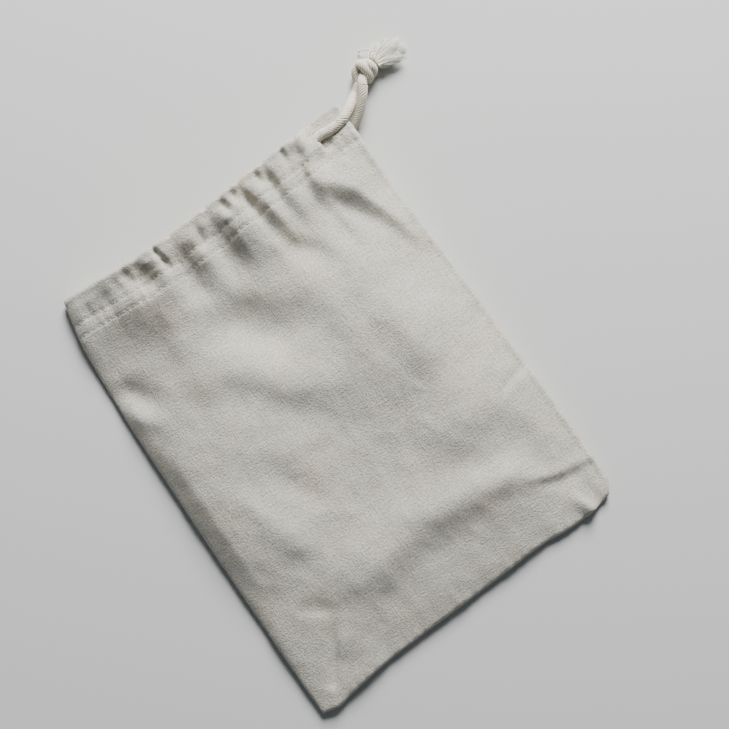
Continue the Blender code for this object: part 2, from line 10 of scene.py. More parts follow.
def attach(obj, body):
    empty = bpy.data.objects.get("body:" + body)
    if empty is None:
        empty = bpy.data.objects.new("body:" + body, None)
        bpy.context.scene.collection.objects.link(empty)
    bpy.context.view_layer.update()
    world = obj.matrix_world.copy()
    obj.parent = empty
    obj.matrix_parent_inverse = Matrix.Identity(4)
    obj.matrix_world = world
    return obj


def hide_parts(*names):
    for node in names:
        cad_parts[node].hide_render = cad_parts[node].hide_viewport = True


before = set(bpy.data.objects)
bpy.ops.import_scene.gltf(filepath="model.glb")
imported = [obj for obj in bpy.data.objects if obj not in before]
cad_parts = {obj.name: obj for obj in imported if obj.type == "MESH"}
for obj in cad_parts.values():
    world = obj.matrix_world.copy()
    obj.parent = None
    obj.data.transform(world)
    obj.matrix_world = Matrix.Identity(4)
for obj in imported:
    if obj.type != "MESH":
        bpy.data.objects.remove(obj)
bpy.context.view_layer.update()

mm = 0.001   # every size below is in millimetres
print("frame loaded")


def linear(hexColour):   # sRGB hex to the linear colour that Blender wants
    parts = [int(hexColour[k:k + 2], 16) / 255 for k in (1, 3, 5)]
    return [p / 12.92 if p <= 0.04045 else ((p + 0.055) / 1.055) ** 2.4 for p in parts] + [1.0]


def addNode(tree, kind, inputs=None, **settings):
    node = tree.nodes.new("ShaderNode" + kind)
    for name, value in settings.items():
        setattr(node, name, value)
    for place, value in (inputs or {}).items():
        if isinstance(value, bpy.types.Node):
            value = value.outputs[0]
        if isinstance(value, bpy.types.NodeSocket):
            tree.links.new(value, node.inputs[place])
        else:
            node.inputs[place].default_value = value
    return node


def newMaterial(name, settings):
    material = bpy.data.materials.new(name)
    material.use_nodes = True
    tree = material.node_tree
    surface = tree.nodes["Principled BSDF"]
    for place, value in settings.items():
        surface.inputs[place].default_value = value
    return material, tree, surface


def mix(a, b, share):
    return a + (b - a) * share


def ease(value, start, end):
    share = np.clip((value - start) / (end - start), 0.0, 1.0)
    return share * share * (3.0 - 2.0 * share)


def roundOver(distance, radius):   # share of the full height, this far in from a rounded edge
    share = np.clip(distance / radius, 0.0, 1.0)
    return np.sqrt(1.0 - (1.0 - share) ** 2)


def readTable(places, values, at):   # a smooth line through a table's rows
    places = np.array(places, float)
    values = np.array(values, float)
    at = np.clip(at, places[0], places[-1])
    k = np.clip(np.searchsorted(places, at, side="right") - 1, 0, len(places) - 2)
    before = np.maximum(k - 1, 0)
    after = np.minimum(k + 2, len(places) - 1)
    span = places[k + 1] - places[k]
    share = (at - places[k]) / span
    slopeLow = (values[k + 1] - values[before]) / (places[k + 1] - places[before]) * span
    slopeHigh = (values[after] - values[k]) / (places[after] - places[k]) * span
    low = (1 + 2 * share) * (1 - share) ** 2 * values[k] + share * (1 - share) ** 2 * slopeLow
    high = share ** 2 * (3 - 2 * share) * values[k + 1] + share ** 2 * (share - 1) * slopeHigh
    return low + high


def meshPiece(name, points, faces, material, attributes=None):
    data = bpy.data.meshes.new(name)
    data.from_pydata([tuple(p) for p in np.array(points) * mm], [], faces)
    for key, values in (attributes or {}).items():
        layer = data.attributes.new(key, "FLOAT_VECTOR", "POINT")
        layer.data.foreach_set("vector", np.array(values, np.float32).ravel())
    data.materials.append(material)
    data.shade_smooth()
    piece = bpy.data.objects.new(name, data)
    bpy.context.scene.collection.objects.link(piece)
    return piece


def smoothRoute(points, spacing):   # points close together on a smooth curve through the given ones
    points = [Vector(p) for p in points]
    route = [points[0]]
    for k in range(len(points) - 1):
        before = points[max(k - 1, 0)]
        low = points[k]
        high = points[k + 1]
        after = points[min(k + 2, len(points) - 1)]
        steps = max(1, math.ceil((high - low).length / spacing))
        for step in range(1, steps + 1):
            u = step / steps
            spot = low * ((1 + 2 * u) * (1 - u) ** 2) + high * (u * u * (3 - 2 * u))
            spot += (high - before) / 2 * (u * (1 - u) ** 2) + (after - low) / 2 * (u * u * (u - 1))
            route.append(spot)
    return route


def sweep(route, sides, radiusAt):   # radiusAt(distance, angle) gives a radius and a rib's height
    points = []
    places = []
    side = Vector((0, 0, 1))
    distance = 0.0
    for k, spot in enumerate(route):
        along = (route[min(k + 1, len(route) - 1)] - route[max(k - 1, 0)]).normalized()
        if abs(side.dot(along)) > 0.95:
            side = Vector((1, 0, 0)) if abs(along.x) < 0.9 else Vector((0, 1, 0))
        side = (side - along * side.dot(along)).normalized()
        other = along.cross(side)
        if k:
            distance += (spot - route[k - 1]).length
        for j in range(sides):
            angle = 2 * math.pi * j / sides
            radius, rib = radiusAt(distance, angle)
            points.append(spot + (side * math.cos(angle) + other * math.sin(angle)) * radius)
            places.append((distance * mm, angle, rib))
    faces = []
    for k in range(len(route) - 1):
        for j in range(sides):
            a = k * sides + j
            b = k * sides + (j + 1) % sides
            faces.append((a, b, b + sides, a + sides))
    last = (len(route) - 1) * sides
    faces.append(tuple(range(sides))[::-1])
    faces.append(tuple(range(last, last + sides)))
    return points, places, faces


def joined(parts):   # several (points, places, faces) as one
    points = []
    places = []
    faces = []
    for morePoints, morePlaces, moreFaces in parts:
        start = len(points)
        points += morePoints
        places += morePlaces
        faces += [tuple(v + start for v in face) for face in moreFaces]
    return points, places, faces


# The camera looks straight down and is turned as the picture is
camera = {
    "aim": (18.5, 8.8),     # what it looks down on
    "height": 571.0,
    "field": 306.2,         # width of floor in the picture
    "turn": -33.4,          # degrees
    "sensor": 36.0,
}
lens = bpy.data.cameras.new("camera")
lens.sensor_width = camera["sensor"]
lens.lens = camera["sensor"] * camera["height"] / camera["field"]
lens.clip_start = 0.01
eye = bpy.data.objects.new("camera", lens)
eye.location = (camera["aim"][0] * mm, camera["aim"][1] * mm, camera["height"] * mm)
eye.rotation_euler = (0.0, 0.0, math.radians(camera["turn"]))
bpy.context.scene.collection.objects.link(eye)
bpy.context.scene.camera = eye


# "up" is the share from the bottom seam to the mouth, "across" from the fold to the side seam
outline = {
    "up": [0, 0.03, 0.06, 0.25, 0.40, 0.55, 0.70, 0.80, 0.90, 0.96, 1],
    "left": [-76.3, -76.5, -76.7, -77.3, -77.6, -77.7, -77.7, -77.2, -75.8, -73.7, -72.0],
    "right": [74.2, 77.4, 77.7, 76.3, 74.7, 73.4, 71.0, 69.8, 69.3, 68.9, 68.7],
    "across": [0, 0.05, 0.10, 0.22, 0.35, 0.50, 0.64, 0.76, 0.86, 0.95, 1],
    "bottom": [-103.6, -104.8, -103.3, -100.5, -99.1, -97.8, -96.5, -95.2, -96.0, -94.9, -92.8],
    "mouth": [99.9, 100.1, 99.4, 97.7, 97.3, 98.7, 100.4, 102.0, 103.7, 105.0, 104.5],
    "hemDepth": 18.5,
    "cordRoom": 4.9,        # inside width of the channel
    "hemEdge": 1.4,         # over which the hem's second layer ends
    "layer": 1.0,           # cloth and what it stands off, in the shape
    "slit": 0.891,          # share across where the cord comes out
    "slitStep": 0.004,      # half the step there, as a share across
    "slitBelow": 6.9,       # where the cord comes out, below the mouth
    "backSlitBelow": 10.0,
    "slitOpen": 2.3,        # half the length of each slit
    "turnInside": 17.0,     # the hem's inner layer starts this far in from the fold
}


# A fold or a trough along a line, with its widths to the left and to the right of the way it runs.
# It fades over shares of its length, and becomes "flare" times as wide by "flareBy" of it.
def foldAlong(line, left, right, height, fadeIn=0.3, fadeOut=0.5, flare=1.0, flareBy=1.0):
    return dict(line=line, left=left, right=right, height=height, fadeIn=fadeIn, fadeOut=fadeOut,
                flare=flare, flareBy=flareBy)


# Gathers of the front hem, each from the mouth down
gathers = [
    foldAlong([(-60, 97), (-56, 92), (-52, 85)], 3.6, 4.4, -0.9, fadeIn=0.4, flare=1.3),
    foldAlong([(-50, 96.6), (-48.6, 92), (-49.5, 84)], 2.0, 2.6, -1.2, fadeIn=0.4, flare=1.8),
    foldAlong([(-43.6, 96.8), (-42.6, 92), (-42, 85)], 1.4, 1.8, -1.7, fadeIn=0.4, flare=2.2),
    foldAlong([(-36.0, 96.2), (-37.0, 92), (-36.4, 85), (-36.2, 76)], 1.9, 1.8, -3.6, fadeIn=0.4,
        flare=2.8, flareBy=0.4),
    foldAlong([(-27.8, 97), (-26.8, 92.4), (-25.8, 86), (-25, 80)], 0.9, 1.0, -2.5, fadeIn=0.2,
        fadeOut=0.6, flare=2.0),
    foldAlong([(-19.2, 95.8), (-18.6, 91.2), (-19.2, 87.3), (-20.6, 80.5), (-21.6, 62)], 1.5, 1.3,
        -5.2, fadeIn=0.4, flare=4.2, flareBy=0.26),
    foldAlong([(-8.4, 96.6), (-7.9, 93), (-8.9, 87), (-10, 80)], 1.6, 1.6, -2.0, fadeIn=0.4, flare=1.6),
    foldAlong([(-1.0, 96.8), (-1.2, 93.5), (-1.6, 87.1), (-2.6, 78.7), (-3.6, 60)], 1.5, 1.5, -5.2,
        fadeIn=0.4, flare=4.0, flareBy=0.26),
    foldAlong([(6.4, 97.6), (6.5, 94), (7.2, 88)], 1.4, 1.5, -2.2, fadeIn=0.35, flare=1.6),
    foldAlong([(11.8, 98.4), (12, 95), (12.2, 90)], 1.4, 1.4, -2.0, fadeIn=0.35, flare=1.3),
    foldAlong([(16, 99.2), (15.4, 95), (15.6, 88.9), (17.2, 78.7), (19, 70.6), (22, 52)], 1.6, 1.5,
        -3.9, fadeIn=0.2, fadeOut=0.7, flare=2.8, flareBy=0.5),
    foldAlong([(24.2, 99.6), (24.3, 96), (24, 90)], 1.2, 1.4, -2.2, fadeIn=0.35, flare=1.5),
    foldAlong([(28.4, 99.8), (27.8, 95.7), (27.4, 90.4), (27, 83.1), (27.8, 77.4), (28.4, 62)], 1.7,
        1.5, -3.7, fadeIn=0.22, fadeOut=0.6, flare=2.2, flareBy=0.5),
    foldAlong([(38.2, 101.4), (37.8, 98), (36.6, 92)], 0.9, 1.3, -2.0, fadeIn=0.2, fadeOut=0.6,
        flare=2.0),
    foldAlong([(44.8, 101.2), (43.2, 97), (41.2, 91.6), (39.4, 86), (38, 80), (37.6, 66)], 1.4, 2.2,
        -4.2, fadeIn=0.2, fadeOut=0.6, flare=2.8, flareBy=0.3),
    # the two widest hollows go on into the body
    foldAlong([(-20, 86), (-21, 78), (-23, 60)], 8.0, 6.0, -1.3, fadeIn=0.4, flare=1.2),
    foldAlong([(-2, 86), (-3, 76), (-5, 56)], 8.0, 6.0, -1.3, fadeIn=0.4, flare=1.2),
    foldAlong([(46.2, 103.4), (47.6, 99), (47, 93)], 1.4, 1.4, 1.0, fadeIn=0, fadeOut=0.6, flare=1.2),
    foldAlong([(51.4, 104), (50.9, 99), (50.2, 94)], 1.0, 1.1, -1.1, fadeIn=0, fadeOut=0.6, flare=1.3),
]

# Soft folds of the front; a height above 0 is a ridge
folds = [
    # the high flap below the tab, steep towards the body, and the trough at its foot
    foldAlong([(41.5, 90), (45.5, 83.5), (49.6, 78.6), (55.4, 71.6), (60.3, 60), (63.8, 49.8),
        (67, 41), (71, 30)], 17.0, 4.2, 4.6, fadeIn=0.35, fadeOut=0.4, flare=0.9),
    foldAlong([(39, 84), (44.5, 73), (50, 64), (54.5, 53), (58.5, 42)], 2.6, 5.5, -1.7, fadeIn=0.35,
        flare=1.1),
    foldAlong([(41, 76), (45.5, 50), (46.5, 0), (44.5, -56)], 27.0, 21.0, 6.2, fadeOut=0.2, flare=1.1),
    foldAlong([(37, 79), (42, 60), (43.5, 40)], 3.0, 5.0, -1.5, flare=1.3),
    # the tab, raised a little along the cord
    foldAlong([(57, 93.4), (62, 93.2), (68, 94.4)], 1.6, 4.0, 1.0, fadeIn=0.2, fadeOut=0.2),
    # across the middle
    foldAlong([(-52, 52), (-38, 42), (-18, 26), (2, 9), (22, -12)], 11.0, 7.5, 1.9, fadeIn=0.25,
        fadeOut=0.4, flare=1.2),
    foldAlong([(-52, 42), (-30, 26), (-19, 10), (3, -23), (12, -46)], 8.0, 10.0, -1.4, fadeIn=0.25,
        fadeOut=0.4, flare=1.2),
    foldAlong([(-26, 62), (-8, 42), (8, 26)], 12.0, 10.0, -5.0, fadeOut=0.4),
    foldAlong([(10, 66), (20, 44), (24, 10)], 6.0, 7.0, 1.3, fadeOut=0.4, flare=1.2),
    foldAlong([(19, 70), (26, 60), (37, 46)], 3.4, 4.6, -1.5, flare=1.3),
    foldAlong([(20, 36), (36, 16), (52, -8)], 14.0, 26.0, 3.4, fadeIn=0.35, fadeOut=0.35),
    foldAlong([(30, 28), (35, 4), (29, -34)], 7.0, 9.0, -0.8, fadeOut=0.4),
    foldAlong([(-32, 74), (-38, 62), (-48, 52)], 6.0, 6.0, 1.3, fadeIn=0.4, fadeOut=0.4),
    foldAlong([(-70, 89), (-60, 88), (-50, 87)], 5.0, 5.0, -1.7, fadeOut=0.3),
    # along the fold
    foldAlong([(-72, 60), (-65, 46), (-57, 38)], 7.0, 5.5, -3.0, fadeIn=0.35),
    foldAlong([(-76, 47), (-64, 34), (-60, 24)], 5.0, 5.0, 1.3, fadeIn=0.25),
    foldAlong([(-67.5, 34), (-67.5, -8), (-67, -54)], 22.0, 4.5, 2.4, fadeOut=0.3),
    foldAlong([(-60, 4), (-50, -24), (-38, -50)], 6.0, 7.5, 1.6, fadeOut=0.4),
    foldAlong([(-40, 4), (-32, -20), (-22, -40)], 6.0, 7.5, -1.2, fadeOut=0.4),
    # the crest above the bottom hollow, the hollow, and the sharp crease at their right end
    foldAlong([(-48, -75), (-38, -68.5), (-23, -62), (-6, -58.6), (16, -58.6), (31, -60.5),
        (44, -63.5), (52, -69), (60, -72)], 15.0, 12.5, 3.5, fadeIn=0.25, fadeOut=0.2, flare=0.42),
    foldAlong([(-50, -82), (-15, -75), (12, -75), (46, -82)], 9.0, 9.0, -1.3, fadeOut=0.4),
    foldAlong([(44, -65), (50, -68.5), (56, -71.5), (64, -73.6), (80, -75.4)], 3.4, 1.9, 0.9,
        fadeOut=0.1, flare=0.8),
    foldAlong([(47, -70), (60, -76), (74, -78.4)], 1.8, 4.4, -0.9, fadeOut=0.3),
    # the two bottom corners
    foldAlong([(-67, -98), (-60, -88), (-53, -77), (-47, -71)], 3.4, 1.6, -1.5, fadeIn=0.1, fadeOut=0.4),
    foldAlong([(-64, -58), (-53, -66), (-45, -71)], 4.0, 2.4, -0.8, fadeIn=0.4, fadeOut=0.3),
    foldAlong([(66.2, -97), (64.4, -92), (61.5, -86), (59.5, -79)], 3.6, 1.3, 2.1, fadeIn=0,
        fadeOut=0.7, flare=1.4),
    foldAlong([(60.5, -97), (59, -88)], 2.4, 2.4, -0.5, fadeIn=0, fadeOut=0.6),
    foldAlong([(70.5, -96), (68.5, -88), (70, -80)], 2.6, 2.4, -0.8, fadeIn=0),
    foldAlong([(54, -34), (66, -29.5), (77, -28)], 2.6, 1.6, -0.9, fadeIn=0.4, fadeOut=0.1),
    foldAlong([(60, -36), (64, -50), (62, -64)], 7.0, 5.0, 1.3, fadeOut=0.4),
]

shape = {
    # the front's rise by the share up, the part of it by the share across, and the hem's rise
    "crown": ([0, 0.06, 0.12, 0.22, 0.34, 0.50, 0.80, 1], [0, 3.3, 6.4, 8.2, 9.3, 10.4, 11.2, 11.4]),
    "crownShare": ([0, 0.05, 0.12, 0.25, 0.40, 0.60, 0.75, 0.88, 1],
                   [0, 0.28, 0.56, 0.88, 1.0, 1.0, 0.86, 0.5, 0]),
    "hemRise": ([0, 0.09, 0.20, 0.30, 0.40, 0.62, 0.76, 0.88, 1],
                [0.3, 3.6, 7.6, 11.0, 12.2, 12.2, 10.6, 8.2, 1.0]),
    "gatherRise": 3.4,
    "gatherEase": (-4.0, 20.0),     # over which the gathers end, from the hem's lower edge
    "gathersBetween": (-72.0, -40.0, 40.0, 53.0),
    "scallop": 0.17,        # how far a gather draws the mouth's edge in, of its depth
    "cordClear": 2.5,       # from the cord's middle to the top of the cloth
    "coverEase": (1.0, 8.0),
    "swellWidth": 6.0,      # to each side of the cord
    "apart": 0.4,           # the least room between the front and the back
    "leastRise": (2.6, 1.2),        # of the front, at the fold and at the seam
    "wallEase": 30.0,
    "tabUnder": 6.7,        # the flat end of the heading lies this high, on the cord
    "tabRise": 0.8,
    "tabWall": 1.2,
    "tabSharp": (3.2, 9.0),         # from the slit's middle, where its edge turns from sharp to soft
    "tabSoft": (-0.08, 0.03),       # share across over which the soft edge falls, from the slit
    "tabFade": (-3.0, 21.0),        # over which the tab ends, from the hem's lower edge
    "mouthEdge": 2.0,
    "lip": dict(depth=5.0, wall=1.5, frontDown=1.5, backUp=1.2),
    "round": dict(foldTop=6.5, foldUnder=3.5, seam=1.5, bottom=2.0),
    "inner": dict(first=1.6, turn=(2.0, 3.4), last=2.4, round=3.0),
    "cordBed": 2.15,        # how near the tab comes to the middle of the cord on it
    "hemLift": 2.3,         # the full hem, and the slope from it to the body
    "hemLiftEase": (9.0, 38.0),
    "rim": dict(height=0.75, below=1.1, width=0.8),
    "underRim": dict(height=-0.4, below=3.8, width=1.7),
}

# Where the cord lies in the front and in the back hem, below the mouth
cordWay = {
    "across": [0.09, 0.15, 0.22, 0.32, 0.43, 0.54, 0.65, 0.75, 0.845],
    "frontBelow": [4.9, 5.6, 7.0, 8.4, 9.0, 9.0, 8.7, 8.0, 7.0],
    "backBelow": [14.0, 13.4, 12.2, 10.2, 9.4, 9.4, 9.6, 9.9, 10.0],
    "frontEnd": [(54.6, 97.6, 11.5), (59.2, 97.2, 11.6), (63.5, 97.4, 11.6), (67.5, 98.5, 11.2),
                 (71.2, 100.6, 8.8), (74.4, 103.1, 5.2), (77.6, 105.4, 3.0), (81.0, 107.8, 2.7)],
    "backEnd": [(55.2, 94.0, 3.3), (60.0, 93.9, 2.8), (64.8, 94.2, 2.6), (69.4, 95.2, 2.7),
                (73.3, 96.9, 4.0), (76.5, 99.6, 5.9), (79.2, 102.6, 7.3), (81.6, 105.8, 7.7)],
    "turnSteps": 6,
    "tabStep": 0.8,
    "hemFrom": (0.66, 0.92),     # share up over which the body gives way to the hem
}


def mouthAt(across):
    x = mix(outline["left"][-1], outline["right"][-1], across)
    scallop = 0.0
    for gather in gathers:
        away = (x - gather["line"][0][0]) / (gather["left"] + gather["right"]) * 2
        scallop = scallop + shape["scallop"] * gather["height"] * np.exp(-away ** 2)
    return readTable(outline["across"], outline["mouth"], across) + scallop


def bottomAt(across):
    return readTable(outline["across"], outline["bottom"], across)


def lengthAt(across):
    return mouthAt(across) - bottomAt(across)


def place(across, up):
    left = readTable(outline["up"], outline["left"], up)
    right = readTable(outline["up"], outline["right"], up)
    return mix(left, right, across), mix(bottomAt(across), mouthAt(across), up)


def hemRise(across):
    return readTable(*shape["hemRise"], across)


def frontCordLevel(across):
    return outline["layer"] * 3 + hemRise(across)


backCordLevel = outline["layer"] + outline["cordRoom"] / 2


def hemSpot(across, below, level):
    x, mouth = place(np.array(across), np.array(1.0))
    return Vector((x, mouth - below, level))


def cordTurn():   # the half turn at the fold, from the front hem to the back hem
    across = cordWay["across"][0]
    start = hemSpot(across, cordWay["frontBelow"][0], frontCordLevel(across))
    end = hemSpot(across, cordWay["backBelow"][0], backCordLevel)
    arm = (start - end) / 2
    spots = []
    for step in range(cordWay["turnSteps"] + 1):
        angle = math.pi * step / cordWay["turnSteps"]
        out = Vector((arm.length * math.sin(angle), 0, 0))
        spots.append((start + end) / 2 + arm * math.cos(angle) - out)
    return spots


turnSpots = cordTurn()
strandOnTab = smoothRoute(cordWay["frontEnd"][:5], cordWay["tabStep"])


def cordRoute():
    spots = [Vector(p) for p in reversed(cordWay["frontEnd"])]
    for across, below in list(zip(cordWay["across"], cordWay["frontBelow"]))[:0:-1]:
        spots.append(hemSpot(across, below, frontCordLevel(across)))
    spots += turnSpots
    for across, below in list(zip(cordWay["across"], cordWay["backBelow"]))[1:]:
        spots.append(hemSpot(across, below, backCordLevel))
    return spots + [Vector(p) for p in cordWay["backEnd"]]


# Soft cotton cord, twisted from eight yarns: creamy and matt, each yarn a round slanting rib
drawstring = {
    "diameter": 4.3,
    "yarns": 8,
    "lay": 9.0,             # the length in which a yarn goes once round
    "ribDepth": 0.5,
    "sides": 64,
    "shownLength": 42.0,    # at each end; the rest is inside the hem
    "fine": 0.2,
    "coarse": 2.0,
    "ribFade": 4.0,
    "evenRib": 0.6,         # inside the hem, where it is plain
}


def yarnHeight(distance, angle):   # 1 on top of a yarn, 0 in the gap between two
    turn = angle - 2 * math.pi * distance / drawstring["lay"]
    return 1 - (1 - abs(math.cos(drawstring["yarns"] * turn / 2))) ** 1.5


def makeCordMaterial():
    # Unbleached cotton yarn: matt and a little hairy, pale on each yarn, with painted shade making it
    # dusky in the gaps between yarns
    material, tree, surface = newMaterial("unbleached cotton cord, twisted", {
        "Roughness": 0.9, "Sheen Weight": 0.25, "Sheen Roughness": 0.6})
    where = addNode(tree, "Attribute", attribute_name="yarnPlace")
    split = addNode(tree, "SeparateXYZ", {0: where.outputs["Vector"]})
    position = addNode(tree, "TexCoord")
    onCord = position.outputs["Object"]
    fibreNoise = addNode(tree, "TexNoise", {"Vector": onCord, "Scale": 2400.0, "Detail": 2.0})
    patchNoise = addNode(tree, "TexNoise", {"Vector": onCord, "Scale": 180.0, "Detail": 2.0})
    # painted shade: the colour darkens with the rib height, from pale on a yarn's top to dark brown in
    # the gap between two yarns
    toneAndPaintedShade = addNode(tree, "ValToRGB", {0: split.outputs["Z"]})
    for stop, at, colour in zip(toneAndPaintedShade.color_ramp.elements, (0.1, 0.75), ("#857c69", "#f4efe3")):
        stop.position = at
        stop.color = linear(colour)
    shade = addNode(tree, "Mix", {"Factor": patchNoise, "A": linear("#e2dccf"), "B": linear("#fffdf6")},
                    data_type="RGBA")
    colour = addNode(tree, "Mix", {"Factor": 1.0, "A": toneAndPaintedShade, "B": shade.outputs["Result"]},
                     data_type="RGBA", blend_type="MULTIPLY")
    tree.links.new(colour.outputs["Result"], surface.inputs["Base Color"])
    bump = addNode(tree, "Bump", {"Strength": 0.5, "Distance": 0.15 * mm, "Height": fibreNoise})
    tree.links.new(bump.outputs[0], surface.inputs["Normal"])
    return material


cordMaterial = makeCordMaterial()


def makeDrawstring():
    whole = smoothRoute(cordRoute(), drawstring["fine"])
    travelled = [0.0]
    for a, b in zip(whole, whole[1:]):
        travelled.append(travelled[-1] + (b - a).length)
    route = [whole[0]]
    last = 0.0
    for spot, far in zip(whole[1:], travelled[1:]):
        shown = min(far, travelled[-1] - far) < drawstring["shownLength"]
        if far - last >= (drawstring["fine"] if shown else drawstring["coarse"]) * 0.99:
            route.append(spot)
            last = far

    def ribbed(distance, angle):
        shown = drawstring["shownLength"] - min(distance, travelled[-1] - distance)
        fine = float(ease(shown, 0.0, drawstring["ribFade"]))
        rib = mix(drawstring["evenRib"], yarnHeight(distance, angle), fine)
        return drawstring["diameter"] / 2 - drawstring["ribDepth"] * (1 - rib), rib

    points, places, faces = sweep(route, drawstring["sides"], ribbed)
    cord = meshPiece("cotton_drawstring", points, faces, cordMaterial, {"yarnPlace": places})
    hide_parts("drawstring")
    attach(cord, "root")
    return cord, [tuple(p * mm) for p in route], travelled[-1]


cord, cordPath, cordLength = makeDrawstring()
print("drawstring made, %.1f mm long" % cordLength)


bagCloth = {
    "thickness": 0.55,
    "edgeColumns": [0, 0.0025, 0.006, 0.011, 0.018, 0.026],
    "frontColumns": 180,
    "slitClear": 0.0075,    # no other column is this near the slit
    "backShift": 31.0,      # so that the back's weave isn't the front's
    "backEvery": 4,         # the back has every fourth column of the front
    "bodyRows": 116,
    "hemRowsFrom": 26.0,    # below the mouth
    "hemRowStep": 0.68,
    "mouthRound": 0.75,
    "lipSteps": 6,
    "innerRows": [0.75, 1.5, 2.3, 3.4, 5, 6.6, 8.2, 9.8, 11.4, 13, 14.8, 16.6, 18.2],
    "bottomRows": [0, 0.0022, 0.005, 0.009, 0.014, 0.020, 0.027],
    "stitchRows": [17.2, 11.9],     # below the mouth
    "stitchDip": dict(depth=0.4, width=0.7),
    "stitchPucker": dict(height=0.12, length=5.3, waver=0.31, swing=2.0, width=3.0),
    "seamRidge": dict(height=0.55, inside=1.5, width=0.8),
    "seamPucker": dict(height=0.16, length=7.1, waver=0.17, swing=2.5, width=4.0),
    "bottomPucker": dict(height=0.16, length=6.3, waver=0.23, swing=2.2, width=4.0),
    "foldStep": 5.0,        # between the points of a fold's smooth line
    "crumpleSeed": 3.7,
    "crumple": [dict(size=26.0, height=0.95), dict(size=11.0, height=0.42), dict(size=4.5, height=0.13)],
}


def foldShare(x, y, fold):   # share of a fold's full height, by the distance to its line
    line = [(p.x, p.y) for p in smoothRoute([(*p, 0.0) for p in fold["line"]], bagCloth["foldStep"])]
    lengths = [math.hypot(b[0] - a[0], b[1] - a[1]) for a, b in zip(line, line[1:])]
    best = np.full(x.shape, np.inf)
    along = np.zeros(x.shape)
    onLeft = np.zeros(x.shape, bool)
    done = 0.0
    for (ax, ay), (bx, by), length in zip(line, line[1:], lengths):
        share = np.clip(((x - ax) * (bx - ax) + (y - ay) * (by - ay)) / length ** 2, 0, 1)
        dx = x - ax - (bx - ax) * share
        dy = y - ay - (by - ay) * share
        away = np.hypot(dx, dy)
        nearer = away < best
        best = np.where(nearer, away, best)
        along = np.where(nearer, (done + share * length) / sum(lengths), along)
        onLeft = np.where(nearer, (bx - ax) * dy - (by - ay) * dx > 0, onLeft)
        done += length
    opened = np.minimum(along / fold["flareBy"], 1.0)
    width = np.where(onLeft, fold["left"], fold["right"]) * mix(1.0, fold["flare"], opened)
    inward = ease(along, 0.0, fold["fadeIn"]) if fold["fadeIn"] else 1.0
    return np.exp(-(best / width) ** 2) * inward * (1 - ease(along, 1 - fold["fadeOut"], 1.0))


def foldHeight(x, y):
    return sum(fold["height"] * foldShare(x, y, fold) for fold in folds)


def fromHem(below, span):   # 0 above and 1 below a span that is measured from the hem's lower edge
    return ease(below, outline["hemDepth"] + span[0], outline["hemDepth"] + span[1])


def gatherHeight(x, y, below):
    start, full, last, end = shape["gathersBetween"]
    zone = ease(x, start, full) * (1 - ease(x, last, end))
    height = shape["gatherRise"] * zone * (1 - fromHem(below, shape["gatherEase"]))
    for gather in gathers:
        height = height + gather["height"] * foldShare(x, y, gather)
    return height


def crumple(x, y, salt):
    height = np.zeros(x.size)
    for k, (a, b) in enumerate(zip(x.ravel(), y.ravel())):
        for lump in bagCloth["crumple"]:
            size = lump["size"]
            bumps = noise.noise(Vector((a / size, b / size, salt + size)))
            creases = 0.5 - abs(noise.noise(Vector((a / size, b / size, salt - size))))
            height[k] += lump["height"] * (bumps + creases)
    return height.reshape(x.shape)


def tabShare(across, below):   # 1 on the flat end of the heading
    slit = outline["slit"]
    inSlit = 1 - ease(abs(below - outline["slitBelow"]), *shape["tabSharp"])
    sharp = ease(across, slit - outline["slitStep"], slit + outline["slitStep"])
    soft = ease(across, slit + shape["tabSoft"][0], slit + shape["tabSoft"][1])
    return mix(soft, sharp, inSlit) * (1 - fromHem(below, shape["tabFade"]))


def swell(away):   # the cloth's height round the cord, from the cord's middle
    share = np.minimum(abs(away) / shape["swellWidth"], 1.0)
    return (outline["cordRoom"] / 2 + outline["layer"]) * np.cos(share * math.pi / 2)


